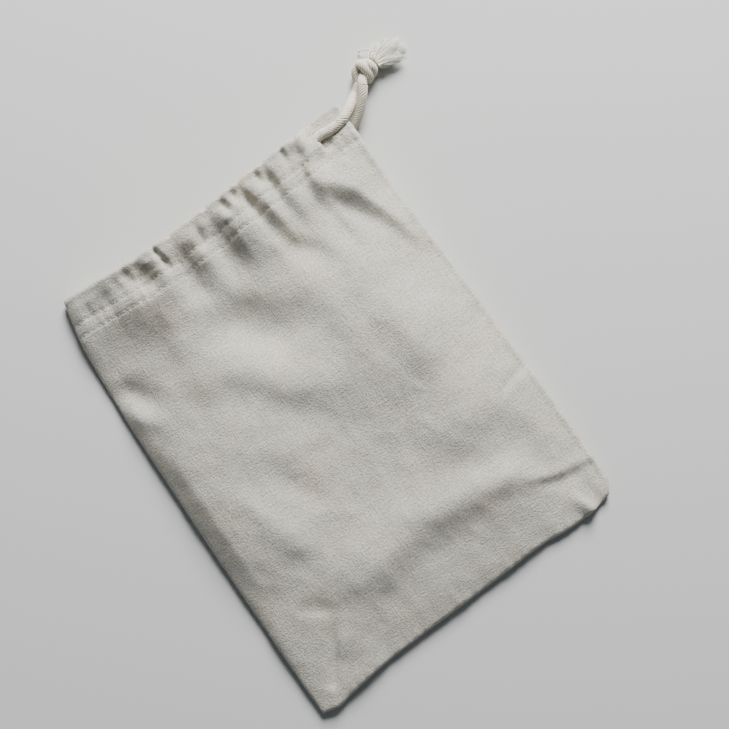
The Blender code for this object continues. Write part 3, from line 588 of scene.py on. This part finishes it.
def clothLevels(across, up):   # the outer and inner face of the front and of the back, before the edges
    layer = outline["layer"]
    x, y = place(across, up)
    below = mouthAt(across) - y
    tab = tabShare(across, below)
    inHem = 1 - fromHem(below, (0.0, outline["hemEdge"]))
    wall = layer * (1 + inHem)
    edge = roundOver(below, shape["mouthEdge"])
    lipShape = shape["lip"]
    lip = (1 - np.minimum(below / lipShape["depth"], 1)) ** 2

    rise = readTable(*shape["crown"], up)
    rise = rise * readTable(*shape["crownShare"], across)
    rise = rise + mix(*shape["leastRise"], across)
    rise = mix(rise, hemRise(across), ease(up, *cordWay["hemFrom"]))
    rise = rise + 2 * (2 * layer - wall) * (1 - fromHem(below, (0.0, shape["wallEase"])))
    rise = mix(rise, shape["tabRise"], tab)
    wall = mix(wall, shape["tabWall"], tab)

    backUnder = shape["tabUnder"] * tab
    backMiddle = backUnder + wall / 2 + lipShape["backUp"] * lip * (1 - tab)
    frontMiddle = backUnder + wall * 1.5 + rise - lipShape["frontDown"] * lip * (1 - tab)
    half = mix(lipShape["wall"], wall, edge) / 2
    backUnder = mix(backMiddle - half, backUnder, edge * (1 - lip))
    backTop = backMiddle + half
    frontUnder = frontMiddle - half
    frontTop = frontMiddle + half

    inChannel = (across < outline["slit"]) & (inHem > 0)
    cordLevel = frontCordLevel(across)
    away = below - readTable(cordWay["across"], cordWay["frontBelow"], across)
    pastTurn = inChannel & (across > cordWay["across"][0])
    lift = shape["hemLift"] * (1 - ease(below, *shape["hemLiftEase"]))
    frontTop = frontTop + lift * (1 - tab) * edge
    for bead in (shape["rim"], shape["underRim"]):
        roll = np.exp(-((below - bead["below"]) / bead["width"]) ** 2) * (1 - tab)
        frontTop = frontTop + bead["height"] * roll * (1 - lip)
    frontUnder = np.where(pastTurn, np.minimum(frontUnder, cordLevel - swell(away) * edge), frontUnder)
    awayBack = below - readTable(cordWay["across"], cordWay["backBelow"], across)
    backTop = np.where(pastTurn, np.maximum(backTop, backCordLevel + swell(awayBack) * edge), backTop)

    raised = frontTop + gatherHeight(x, y, below) * (1 - tab) + foldHeight(x, y)
    room = shape["cordClear"]
    cover = cordLevel + room * (1 - ease(abs(away), *shape["coverEase"]))
    raised = np.where(pastTurn & (abs(away) < shape["coverEase"][1]), np.maximum(raised, cover), raised)
    frontUnder = frontUnder + np.minimum(raised - frontTop, 0)
    frontTop = raised
    for spot in turnSpots:
        aside = np.hypot(x - spot.x, y - spot.y)
        bulge = spot.z + np.sqrt(np.maximum(room * room - aside * aside, 0))
        frontTop = np.where(aside <= room, np.maximum(frontTop, bulge), frontTop)
    for spot in strandOnTab:
        aside = np.hypot(x - spot.x, y - spot.y)
        bed = spot.z - np.sqrt(np.maximum(shape["cordBed"] ** 2 - aside ** 2, 0))
        onTab = (aside < shape["cordBed"]) & (tab > 0.5)
        frontTop = np.where(onTab, np.minimum(frontTop, bed), frontTop)
    frontUnder = np.maximum(np.minimum(frontUnder, frontTop - half), backTop + shape["apart"])
    frontTop = np.maximum(frontTop, frontUnder + half)
    return x, y, below, frontTop, frontUnder, backTop, backUnder


def puckers(along, sort):   # small uneven waves along a seam
    return sort["height"] * np.sin(along * 2 * math.pi / sort["length"]
                                   + np.sin(along * sort["waver"]) * sort["swing"])


def fineHeight(x, y, below, fromSeam, fromBottom):   # what only the thin cloth shows
    height = crumple(x, y, bagCloth["crumpleSeed"])
    dip, waves, ridge = bagCloth["stitchDip"], bagCloth["stitchPucker"], bagCloth["seamRidge"]
    for row in bagCloth["stitchRows"]:
        height = height - dip["depth"] * np.exp(-((below - row) / dip["width"]) ** 2)
        height = height + puckers(x, waves) * np.exp(-((below - row) / waves["width"]) ** 2)
    height = height + ridge["height"] * np.exp(-((fromSeam - ridge["inside"]) / ridge["width"]) ** 2)
    seam, bottom = bagCloth["seamPucker"], bagCloth["bottomPucker"]
    height = height + puckers(y, seam) * np.exp(-fromSeam / seam["width"])
    return height + puckers(x, bottom) * np.exp(-fromBottom / bottom["width"])


def widthAt(up):
    return readTable(outline["up"], outline["right"], up) - readTable(outline["up"], outline["left"], up)


def outerCloth(across, up):   # top and underside, rounded over at the fold and the seams
    x, y, below, frontTop, frontUnder, backTop, backUnder = clothLevels(across, up)
    width = widthAt(up)
    fromFold = across * width
    fromSeam = (1 - across) * width
    fromBottom = y - bottomAt(across)
    frontTop = frontTop + fineHeight(x, y, below, fromSeam, fromBottom)
    middle = (frontTop + backUnder) / 2
    edges = shape["round"]
    ends = roundOver(fromSeam, edges["seam"]) * roundOver(fromBottom, edges["bottom"])
    top = mix(middle, frontTop, roundOver(fromFold, edges["foldTop"]) * ends)
    bottom = mix(middle, backUnder, roundOver(fromFold, edges["foldUnder"]) * ends)
    return np.stack([x, y, top], -1), np.stack([x, y, bottom], -1)


def innerCloth(share, below):   # the hem's inner layer, front and back
    width = widthAt(1 - below / lengthAt(share))
    inner = shape["inner"]
    first = mix(inner["first"], outline["turnInside"], ease(below, *inner["turn"])) / width
    last = 1 - inner["last"] / width
    across = mix(first, last, share)
    up = 1 - below / lengthAt(across)
    x, y, _, _, frontUnder, backTop, _ = clothLevels(across, up)
    middle = (frontUnder + backTop) / 2
    sides = roundOver((across - first) * width, inner["round"])
    sides = sides * roundOver((last - across) * width, inner["round"])
    over = mix(middle, frontUnder, sides)
    under = mix(middle, backTop, sides)
    return np.stack([x, y, over], -1), np.stack([x, y, under], -1)


def makeCanvasMaterial():
    # Unbleached plain-weave cotton canvas: matt greige, with thick and thin threads both ways,
    # warm and cool patches and now and then a brown fleck of cotton seed
    weave = {
        "pitch": 1.05 * mm,     # threads are 0.6 mm apart in the real one, too fine to show here
        "wander": 2.2 * mm,
        "relief": 0.3 * mm,
        "slubHeight": 0.42,
        "grainHeight": 2.1,
        "cellHeight": 0.13,
        "paintedShadeBelow": 1.06,
        "fleckSpacing": 8.5 * mm,
        "fleckSize": 0.035,     # of their spacing
        "noFleck": 0.62,        # share of the places without one
        "fleckShare": 0.55,
    }
    material, tree, surface = newMaterial("unbleached cotton canvas, plain weave", {
        "Roughness": 0.92, "Sheen Weight": 0.15, "Sheen Roughness": 0.6})
    where = addNode(tree, "Attribute", attribute_name="clothPlace")
    flat = where.outputs["Vector"]
    split = addNode(tree, "SeparateXYZ", {0: flat})
    # a little waviness, so the threads don't run ruler-straight
    wander = addNode(tree, "TexNoise", {"Vector": flat, "Scale": 55.0, "Detail": 2.0})
    wanderSplit = addNode(tree, "SeparateXYZ", {0: wander.outputs["Color"]})
    waves = []
    for axis in "XY":
        moved = addNode(tree, "Math", {0: wanderSplit.outputs[axis], 1: weave["wander"],
                                       2: split.outputs[axis]}, operation="MULTIPLY_ADD")
        turned = addNode(tree, "Math", {0: moved, 1: math.pi / weave["pitch"]}, operation="MULTIPLY")
        waves.append(addNode(tree, "Math", {0: turned}, operation="SINE"))
    cell = addNode(tree, "Math", {0: waves[0], 1: waves[1]}, operation="MULTIPLY")
    bumpCell = addNode(tree, "Math", {0: cell}, operation="ABSOLUTE")
    # thick and thin places of the single threads, long one way and a thread wide the other
    slubs = []
    for stretch in ((1.0, 0.16, 1.0), (0.16, 1.0, 1.0)):
        drawn = addNode(tree, "Mapping", {"Vector": flat, "Scale": stretch})
        slubs.append(addNode(tree, "TexNoise", {"Vector": drawn, "Scale": 1 / weave["pitch"],
                                                "Detail": 2.0}))
    slub = addNode(tree, "Math", {0: slubs[0], 1: slubs[1]}, operation="ADD")
    slub = addNode(tree, "Math", {0: slub, 1: weave["slubHeight"]}, operation="MULTIPLY")
    grain = addNode(tree, "TexNoise", {"Vector": flat, "Scale": 1.1 / weave["pitch"], "Detail": 4.0,
                                       "Roughness": 0.7})
    rough = addNode(tree, "Math", {0: grain, 1: weave["grainHeight"], 2: slub},
                    operation="MULTIPLY_ADD")
    height = addNode(tree, "Math", {0: bumpCell, 1: weave["cellHeight"], 2: rough},
                     operation="MULTIPLY_ADD")
    # partly painted shade: the thread colour follows the weave's height, darker where it sinks between
    # threads; the thick and thin threads' own random tone rides on the same height
    toneAndPaintedShade = addNode(tree, "Math", {0: height, 1: weave["paintedShadeBelow"]}, operation="SUBTRACT")
    threadToneAndPaintedShade = addNode(tree, "Mix", {"Factor": toneAndPaintedShade, "A": linear("#aeaaa0"), "B": linear("#f0eee8")},
                         data_type="RGBA")
    # patches a few centimetres wide, from warm to cool
    patches = addNode(tree, "TexNoise", {"Vector": flat, "Scale": 42.0, "Detail": 5.0, "Roughness": 0.6})
    patchTone = addNode(tree, "Mix", {"Factor": patches, "A": linear("#fff0e0"), "B": linear("#e6f0ee")},
                        data_type="RGBA")
    cloth = addNode(tree, "Mix", {"Factor": 1.0, "A": threadToneAndPaintedShade.outputs["Result"],
                                  "B": patchTone.outputs["Result"]},
                    data_type="RGBA", blend_type="MULTIPLY")
    seeds = addNode(tree, "TexVoronoi", {"Vector": flat, "Scale": 1 / weave["fleckSpacing"]})
    near = addNode(tree, "Math", {0: seeds.outputs["Distance"], 1: weave["fleckSize"]},
                   operation="LESS_THAN")
    chosen = addNode(tree, "SeparateXYZ", {0: seeds.outputs["Color"]})
    rare = addNode(tree, "Math", {0: chosen.outputs["X"], 1: weave["noFleck"]},
                   operation="GREATER_THAN")
    fleck = addNode(tree, "Math", {0: near, 1: rare}, operation="MULTIPLY")
    fleckShare = addNode(tree, "Math", {0: fleck, 1: weave["fleckShare"]}, operation="MULTIPLY")
    colour = addNode(tree, "Mix", {"Factor": fleckShare, "A": cloth.outputs["Result"],
                                   "B": linear("#5d4a36")}, data_type="RGBA")
    tree.links.new(colour.outputs["Result"], surface.inputs["Base Color"])
    bump = addNode(tree, "Bump", {"Strength": 0.9, "Distance": weave["relief"], "Height": height})
    tree.links.new(bump.outputs[0], surface.inputs["Normal"])
    return material


canvasMaterial = makeCanvasMaterial()


def clothColumns():
    edge, count = bagCloth["edgeColumns"], bagCloth["frontColumns"]
    slit, step = outline["slit"], outline["slitStep"]
    columns = edge + [mix(edge[-1], 1 - edge[-1], k / count) for k in range(1, count)]
    columns += [1 - s for s in edge[::-1]]
    keep = [s for s in columns if abs(s - slit) > bagCloth["slitClear"]]
    return np.array(sorted(keep + [slit - step, slit + step]))


def arcsAlong(points, axis):   # how far each point is along its row or column of the cloth
    steps = np.linalg.norm(np.diff(points, axis=axis), axis=-1)
    start = np.zeros_like(np.take(steps, [0], axis=axis))
    return np.concatenate([start, np.cumsum(steps, axis=axis)], axis=axis)


def makeBagCloth():
    columns = clothColumns()
    slitLeft = int(np.argmin(abs(columns - (outline["slit"] - outline["slitStep"]))))
    count = len(columns)
    backColumns = set(range(0, count, bagCloth["backEvery"])) | {1, 2, count - 3, count - 2, count - 1}
    backColumns = sorted(backColumns | set(range(slitLeft - 1, slitLeft + 3)))
    length = lengthAt(columns)
    hemShare = 1 - bagCloth["hemRowsFrom"] / length
    upRows = [share * hemShare for share in bagCloth["bottomRows"]]
    first = bagCloth["bottomRows"][-1]
    steps = bagCloth["bodyRows"]
    upRows += [mix(first, 1.0, k / steps) * hemShare for k in range(1, steps + 1)]
    hemRows = np.arange(bagCloth["hemRowsFrom"], bagCloth["mouthRound"], -bagCloth["hemRowStep"])[1:]
    upRows += [1 - below / length for below in list(hemRows) + [bagCloth["mouthRound"]]]
    up = np.array(upRows)
    across = np.broadcast_to(columns, up.shape)
    outerFront, outerBack = outerCloth(across, up)

    innerBelow = np.array(bagCloth["innerRows"])[:, None] + np.zeros(count)
    innerFront, innerBack = innerCloth(np.broadcast_to(columns, innerBelow.shape), innerBelow)

    def lipRows(outer, inner):   # half a turn from the outer to the inner layer
        rows = []
        for step in range(1, bagCloth["lipSteps"]):
            angle = math.pi * (0.5 - step / bagCloth["lipSteps"])
            row = (outer + inner) / 2 + (outer - inner) / 2 * math.sin(angle)
            row[:, 1] += bagCloth["mouthRound"] * math.cos(angle)
            rows.append(row)
        return np.array(rows)

    front = np.concatenate([outerFront, lipRows(outerFront[-1], innerFront[0]), innerFront])
    back = np.concatenate([outerBack, lipRows(outerBack[-1], innerBack[0]), innerBack])[:, backColumns]
    belowMouth = mouthAt(columns) - outerFront[..., 1]

    # where each point is on the flat cloth, so that the weave follows the folds
    acrossFront = arcsAlong(front, 1)
    acrossBack = arcsAlong(back, 1)
    usual = np.median(acrossFront[:, -1])
    acrossFront *= usual / acrossFront[:, -1:]
    acrossBack *= usual / acrossBack[:, -1:]
    upFront = arcsAlong(front, 0)
    upFront = upFront / upFront[len(outerFront) - 1] * np.median(upFront[len(outerFront) - 1])
    upBack = arcsAlong(back, 0)
    upBack = upBack / upBack[len(outerFront) - 1] * np.median(upFront[len(outerFront) - 1])
    placeFront = np.stack([acrossFront, upFront, np.zeros(upFront.shape)], -1) * mm
    placeBack = np.stack([acrossBack, upBack, np.full(upBack.shape, bagCloth["backShift"])], -1) * mm

    rowCount, frontCount = front.shape[:2]
    backInner = len(backColumns) - 2
    ringCount = frontCount + backInner
    points = list(front[0])
    places = list(placeFront[0])
    for row in range(1, rowCount):
        points += list(front[row]) + list(back[row][1:-1][::-1])
        places += list(placeFront[row]) + list(placeBack[row][1:-1][::-1])

    def ring(row, j):
        return frontCount + (row - 1) * ringCount + j % ringCount

    faces = []
    for j in range(frontCount - 1):
        faces.append((j, j + 1, ring(1, j + 1), ring(1, j)))
    # the underside's first strip runs from its few columns to the many of the bottom seam
    backRing = [ring(1, 0)] + [ring(1, ringCount - k) for k in range(1, backInner + 1)]
    backRing.append(ring(1, frontCount - 1))
    for k in range(len(backColumns) - 1):
        a, b = backColumns[k], backColumns[k + 1]
        for j in range(a, b):
            faces.append((backRing[k], j + 1, j))
        faces.append((backRing[k], backRing[k + 1], b))
    slitBack = [k for k in range(len(backColumns) - 1) if backColumns[k] == slitLeft][0]
    for row in range(1, rowCount - 1):
        outerRow = row < len(outerFront) - 1
        below = belowMouth[row, slitLeft] if outerRow else 0
        frontOpen = outerRow and abs(below - outline["slitBelow"]) < outline["slitOpen"]
        backOpen = outerRow and abs(below - outline["backSlitBelow"]) < outline["slitOpen"]
        for j in range(ringCount):
            if frontOpen and j == slitLeft:
                continue
            if backOpen and j == ringCount - slitBack - 1:
                continue
            faces.append((ring(row, j), ring(row, j + 1), ring(row + 1, j + 1), ring(row + 1, j)))
    cloth = meshPiece("bag_cloth_canvas", points, faces, canvasMaterial, {"clothPlace": places})
    canvas = cloth.modifiers.new("thickness", "SOLIDIFY")
    canvas.thickness = bagCloth["thickness"] * mm
    canvas.offset = -1.0
    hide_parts("bag_cloth")
    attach(cloth, "root")
    return cloth


cloth = makeBagCloth()
print("bag cloth made, %d faces" % len(cloth.data.polygons))


stitching = {
    "pitch": 2.7,
    "length": 2.1,
    "radius": 0.2,
    "sunk": 0.38,
    "aboveFloor": 0.21,
    "steps": 6,
    "sides": 6,
    "standsOut": 0.7,       # of the thread's radius, at the middle of a stitch
    "between": (0.012, 0.988),      # share across
    "samples": 1500,        # of the cloth along a row
    "end": 1.0,             # clear of each row's ends
    "noJump": 1.0,          # a stitch that would jump further than this, at a slit, is left out
}


def makeStitching():
    # Spun sewing thread, a shade darker than the cloth: short firm stitches with pricked ends
    material, tree, surface = newMaterial("spun cotton sewing thread", {"Roughness": 0.85})
    position = addNode(tree, "TexCoord")
    twist = addNode(tree, "TexNoise", {"Vector": position.outputs["Object"], "Scale": 3000.0})
    colour = addNode(tree, "Mix", {"Factor": twist, "A": linear("#a8a295"), "B": linear("#cbc5b9")},
                     data_type="RGBA")
    tree.links.new(colour.outputs["Result"], surface.inputs["Base Color"])
    parts = []
    fine = np.linspace(*stitching["between"], stitching["samples"])
    for rowBelow in bagCloth["stitchRows"]:
        up = 1 - rowBelow / lengthAt(fine)
        top, bottom = outerCloth(fine[None], up[None])
        for line, way in ((top[0], 1.0), (bottom[0], -1.0)):
            far = arcsAlong(line, 0)
            start = stitching["end"]
            while start + stitching["length"] < far[-1] - stitching["end"]:
                spots = []
                for k in range(stitching["steps"]):
                    share = k / (stitching["steps"] - 1)
                    at = start + stitching["length"] * share
                    spot = Vector([np.interp(at, far, line[:, axis]) for axis in range(3)])
                    rise = stitching["radius"] * stitching["standsOut"]
                    rise -= stitching["sunk"] * (2 * share - 1) ** 4 * 2
                    spot.z = max(spot.z + way * rise, stitching["aboveFloor"])
                    spots.append(spot)
                if max((b - a).length for a, b in zip(spots, spots[1:])) < stitching["noJump"]:
                    parts.append(sweep(spots, stitching["sides"], lambda *_: (stitching["radius"], 1.0)))
                start += stitching["pitch"]
    points, places, faces = joined(parts)
    piece = meshPiece("hem_stitching", points, faces, material)
    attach(piece, "root")
    return piece


stitches = makeStitching()
print("stitching made")


knot = {
    "centre": (86.1, 111.2),
    "turn": -33.4,          # degrees from the bag to the picture, in which the paths below are drawn
    # right, up and height above the floor, along each length of cord in it
    "lengths": {
        "frontEnd": [(-2.4, -5.9, 2.7), (-2.6, -4.6, 2.7), (-3.4, -2.8, 3.1), (-3.7, -0.9, 3.6),
                     (-3.0, 0.6, 3.9), (-1.5, 1.0, 4.0), (0.8, 1.4, 4.0), (3.2, 2.4, 3.8),
                     (4.9, 3.3, 3.8)],
        "backEnd": [(-0.8, -7.2, 7.7), (-0.95, -5.8, 7.3), (-0.9, -4.0, 6.0), (-0.4, -2.0, 4.4),
                    (0.8, -0.2, 3.6), (2.8, 1.3, 3.6), (5.0, 2.2, 4.0)],
        "wrap": [(-0.4, -2.9, 2.2), (1.1, -3.4, 2.4), (2.0, -3.0, 4.2), (1.6, -1.9, 6.1),
                 (0.5, -0.3, 7.3), (-0.8, 1.2, 7.3), (-1.9, 2.1, 6.0), (-1.7, 2.5, 4.0),
                 (-0.2, 2.4, 2.6), (1.8, 2.4, 2.4)],
        "nextWrap": [(2.0, -1.6, 2.2), (3.2, -1.0, 3.4), (3.5, -0.1, 5.4), (2.7, 0.9, 6.9),
                     (1.5, 1.9, 7.0), (0.6, 2.6, 5.8), (0.8, 2.9, 4.0), (2.4, 2.9, 3.0)],
    },
    "radius": 1.95,
    "sides": 56,
    "spacing": 0.2,
}


def fromPicture(spot):   # right, up, height in the picture to the bag's own axes
    turn = math.radians(knot["turn"])
    right = Vector((math.cos(turn), math.sin(turn), 0))
    upward = Vector((-math.sin(turn), math.cos(turn), 0))
    return Vector((*knot["centre"], 0)) + right * spot[0] + upward * spot[1] + Vector((0, 0, spot[2]))


def makeKnot():
    def ribs(distance, angle):
        rib = yarnHeight(distance, angle)
        return knot["radius"] - drawstring["ribDepth"] * (1 - rib), rib

    parts = []
    for spots in knot["lengths"].values():
        route = smoothRoute([fromPicture(p) for p in spots], knot["spacing"])
        parts.append(sweep(route, knot["sides"], ribs))
    points, places, faces = joined(parts)
    piece = meshPiece("cord_knot", points, faces, cordMaterial, {"yarnPlace": places})
    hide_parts("knot")
    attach(piece, "root")
    return piece


knotPiece = makeKnot()
print("knot made")


frayed = {
    "rootFrom": (3.0, 4.7),     # right and up from the knot, the two ends of the line of roots
    "rootTo": (6.0, 1.6),
    "rootHeight": 3.9,
    "rootHalfHeight": 1.9,
    # where each tuft's tip lies, right and up from the knot, and how far its threads spread there
    "tips": [(3.1, 11.3, 0.5), (4.7, 12.0, 0.6), (6.3, 11.9, 0.6), (8.1, 14.0, 0.2), (9.4, 12.9, 0.7),
             (10.9, 13.5, 0.6), (12.4, 12.4, 0.7), (14.3, 14.3, 0.6), (15.6, 13.5, 0.6),
             (16.9, 12.0, 0.6), (18.0, 10.6, 0.5), (15.2, 9.5, 0.8), (15.0, 8.0, 0.7), (17.6, 6.0, 0.5),
             (15.8, 5.0, 0.6), (12.6, 3.9, 0.7), (9.8, 3.2, 0.6), (12.0, 9.5, 1.3), (10.5, 7.5, 1.5),
             (8.0, 9.5, 1.2)],
    "threads": 34,          # in a tuft
    "rootScatter": 0.1,
    "rootHeightParts": (0.7, 0.3),  # a tuft's share of the half height, and a thread's
    "reach": (0.78, 1.0),           # where the threads end, as a share of the way to the tip
    "bow": 0.9,
    "bowScatter": 0.45,
    "arch": 0.5,
    "wave": 0.32,
    "waveParts": (0.3, 1.3),
    "waveLength": 5.2,
    "threadRadius": 0.12,
    "thickness": (0.8, 1.5),
    "taper": 0.55,
    "tipHeight": (0.5, 3.6),
    "tipScatter": 0.5,
    "leastHeight": 0.3,
    "lastTufts": 3,         # they start between the others
    "lastFrom": (0.3, 0.7),
    "sides": 4,
    "steps": 12,
    # single threads that stand out from the rest
    "strays": [[(2.6, 5.2, 4.2), (3.0, 8.3, 3.6), (1.0, 8.9, 3.0), (-1.2, 8.7, 2.2),
                (-2.6, 8.5, 1.4), (-2.3, 8.1, 0.8)],
               [(1.6, 4.6, 4.6), (1.6, 6.8, 4.4), (2.6, 8.2, 4.0), (4.2, 8.6, 3.6)],
               [(2.6, 4.9, 4.8), (3.2, 6.6, 4.8), (4.2, 7.4, 4.2)],
               [(5.2, 2.0, 4.0), (7.2, 1.5, 2.2), (9.4, 1.9, 1.0)]],
    "strayRadius": 0.3,
    "straySides": 6,
    "strayStep": 0.5,
}


def makeFrayedEnd():
    # Untwisted cotton fibre: the palest and softest part, bright where it bundles
    material, tree, surface = newMaterial("untwisted cotton yarn, frayed", {
        "Roughness": 0.9, "Sheen Weight": 0.3})
    position = addNode(tree, "TexCoord")
    strands = addNode(tree, "TexNoise", {"Vector": position.outputs["Object"], "Scale": 900.0})
    colour = addNode(tree, "Mix", {"Factor": strands, "A": linear("#dcd8c6"), "B": linear("#fbf8ee")},
                     data_type="RGBA")
    tree.links.new(colour.outputs["Result"], surface.inputs["Base Color"])
    chance = random.Random(11)
    parts = []
    spread = len(frayed["tips"]) - 1 - frayed["lastTufts"]
    least = frayed["leastHeight"]
    for k, (right, upward, scatter) in enumerate(frayed["tips"]):
        tip = Vector((right, upward))
        rootShare = k / spread if k <= spread else chance.uniform(*frayed["lastFrom"])
        high = chance.uniform(-1, 1)
        bow = chance.uniform(-1, 1) * frayed["bow"]
        phase = chance.uniform(0, 2 * math.pi)
        tipHigh = chance.uniform(*frayed["tipHeight"])
        for thread in range(frayed["threads"]):
            share = min(max(rootShare + chance.gauss(0, frayed["rootScatter"]), 0.0), 1.0)
            start = Vector(frayed["rootFrom"]).lerp(Vector(frayed["rootTo"]), share)
            ofTuft, ofThread = frayed["rootHeightParts"]
            startHigh = frayed["rootHeight"] + frayed["rootHalfHeight"] * (
                ofTuft * high + chance.gauss(0, ofThread))
            end = tip + Vector((chance.gauss(0, scatter), chance.gauss(0, scatter)))
            end = start.lerp(end, chance.uniform(*frayed["reach"]))
            way = (end - start).normalized()
            aside = Vector((-way.y, way.x))
            threadBow = bow + chance.gauss(0, frayed["bowScatter"])
            threadWave = frayed["wave"] * chance.uniform(*frayed["waveParts"])
            endHigh = max(tipHigh + chance.gauss(0, frayed["tipScatter"]), least)
            whole = (end - start).length
            spots = []
            for step in range(frayed["steps"]):
                far = step / (frayed["steps"] - 1)
                turn = 2 * math.pi * far * whole / frayed["waveLength"] + phase
                wave = threadWave * math.sin(turn) * far
                spot = start.lerp(end, far) + aside * (threadBow * math.sin(math.pi * far) + wave)
                level = mix(startHigh, endHigh, far) + frayed["arch"] * math.sin(math.pi * far)
                spots.append(fromPicture((*spot, max(level, least))))
            radius = frayed["threadRadius"] * chance.uniform(*frayed["thickness"])

            def thinning(distance, angle):
                return radius * (1 - frayed["taper"] * min(distance / whole, 1.0)), 1.0

            parts.append(sweep(spots, frayed["sides"], thinning))
    for spots in frayed["strays"]:
        route = smoothRoute([fromPicture(p) for p in spots], frayed["strayStep"])
        parts.append(sweep(route, frayed["straySides"], lambda *_: (frayed["strayRadius"], 1.0)))
    points, places, faces = joined(parts)
    piece = meshPiece("frayed_cord_end", points, faces, material)
    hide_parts("frayed_end")
    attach(piece, "root")
    return piece


frayPiece = makeFrayedEnd()
print("frayed end made")


studio = {
    "floorColour": "#d3d4d1",
    "floorHalf": 2500.0,
    "mainSize": 560.0,
    "mainPower": 45.0,
    "mainFrom": (0.12, 1.0, 0.64),      # from the top of the picture, in its right, up and height
    "mainAway": 1300.0,
    "worldColour": "#c4ced8",
    "worldStrength": 0.17,
}


def makeStudio():
    material, _, _ = newMaterial("pale matt floor", {
        "Base Color": linear(studio["floorColour"]), "Roughness": 0.9})
    half = studio["floorHalf"]
    corners = [(-half, -half, 0), (half, -half, 0), (half, half, 0), (-half, half, 0)]
    floor = meshPiece("floor", corners, [(0, 1, 2, 3)], material)
    lamp = bpy.data.lights.new("main light", "AREA")
    lamp.shape = "SQUARE"
    lamp.size = studio["mainSize"] * mm
    lamp.energy = studio["mainPower"]
    light = bpy.data.objects.new("main light", lamp)
    turn = math.radians(camera["turn"])
    right, upward, high = studio["mainFrom"]
    way = Vector((right * math.cos(turn) - upward * math.sin(turn),
                  right * math.sin(turn) + upward * math.cos(turn), high)).normalized()
    light.location = way * studio["mainAway"] * mm
    light.rotation_euler = (-way).to_track_quat("-Z", "Y").to_euler()
    bpy.context.scene.collection.objects.link(light)
    world = bpy.data.worlds.new("studio")
    world.use_nodes = True
    background = world.node_tree.nodes["Background"]
    background.inputs[0].default_value = linear(studio["worldColour"])
    background.inputs[1].default_value = studio["worldStrength"]
    bpy.context.scene.world = world


makeStudio()
print("studio made")
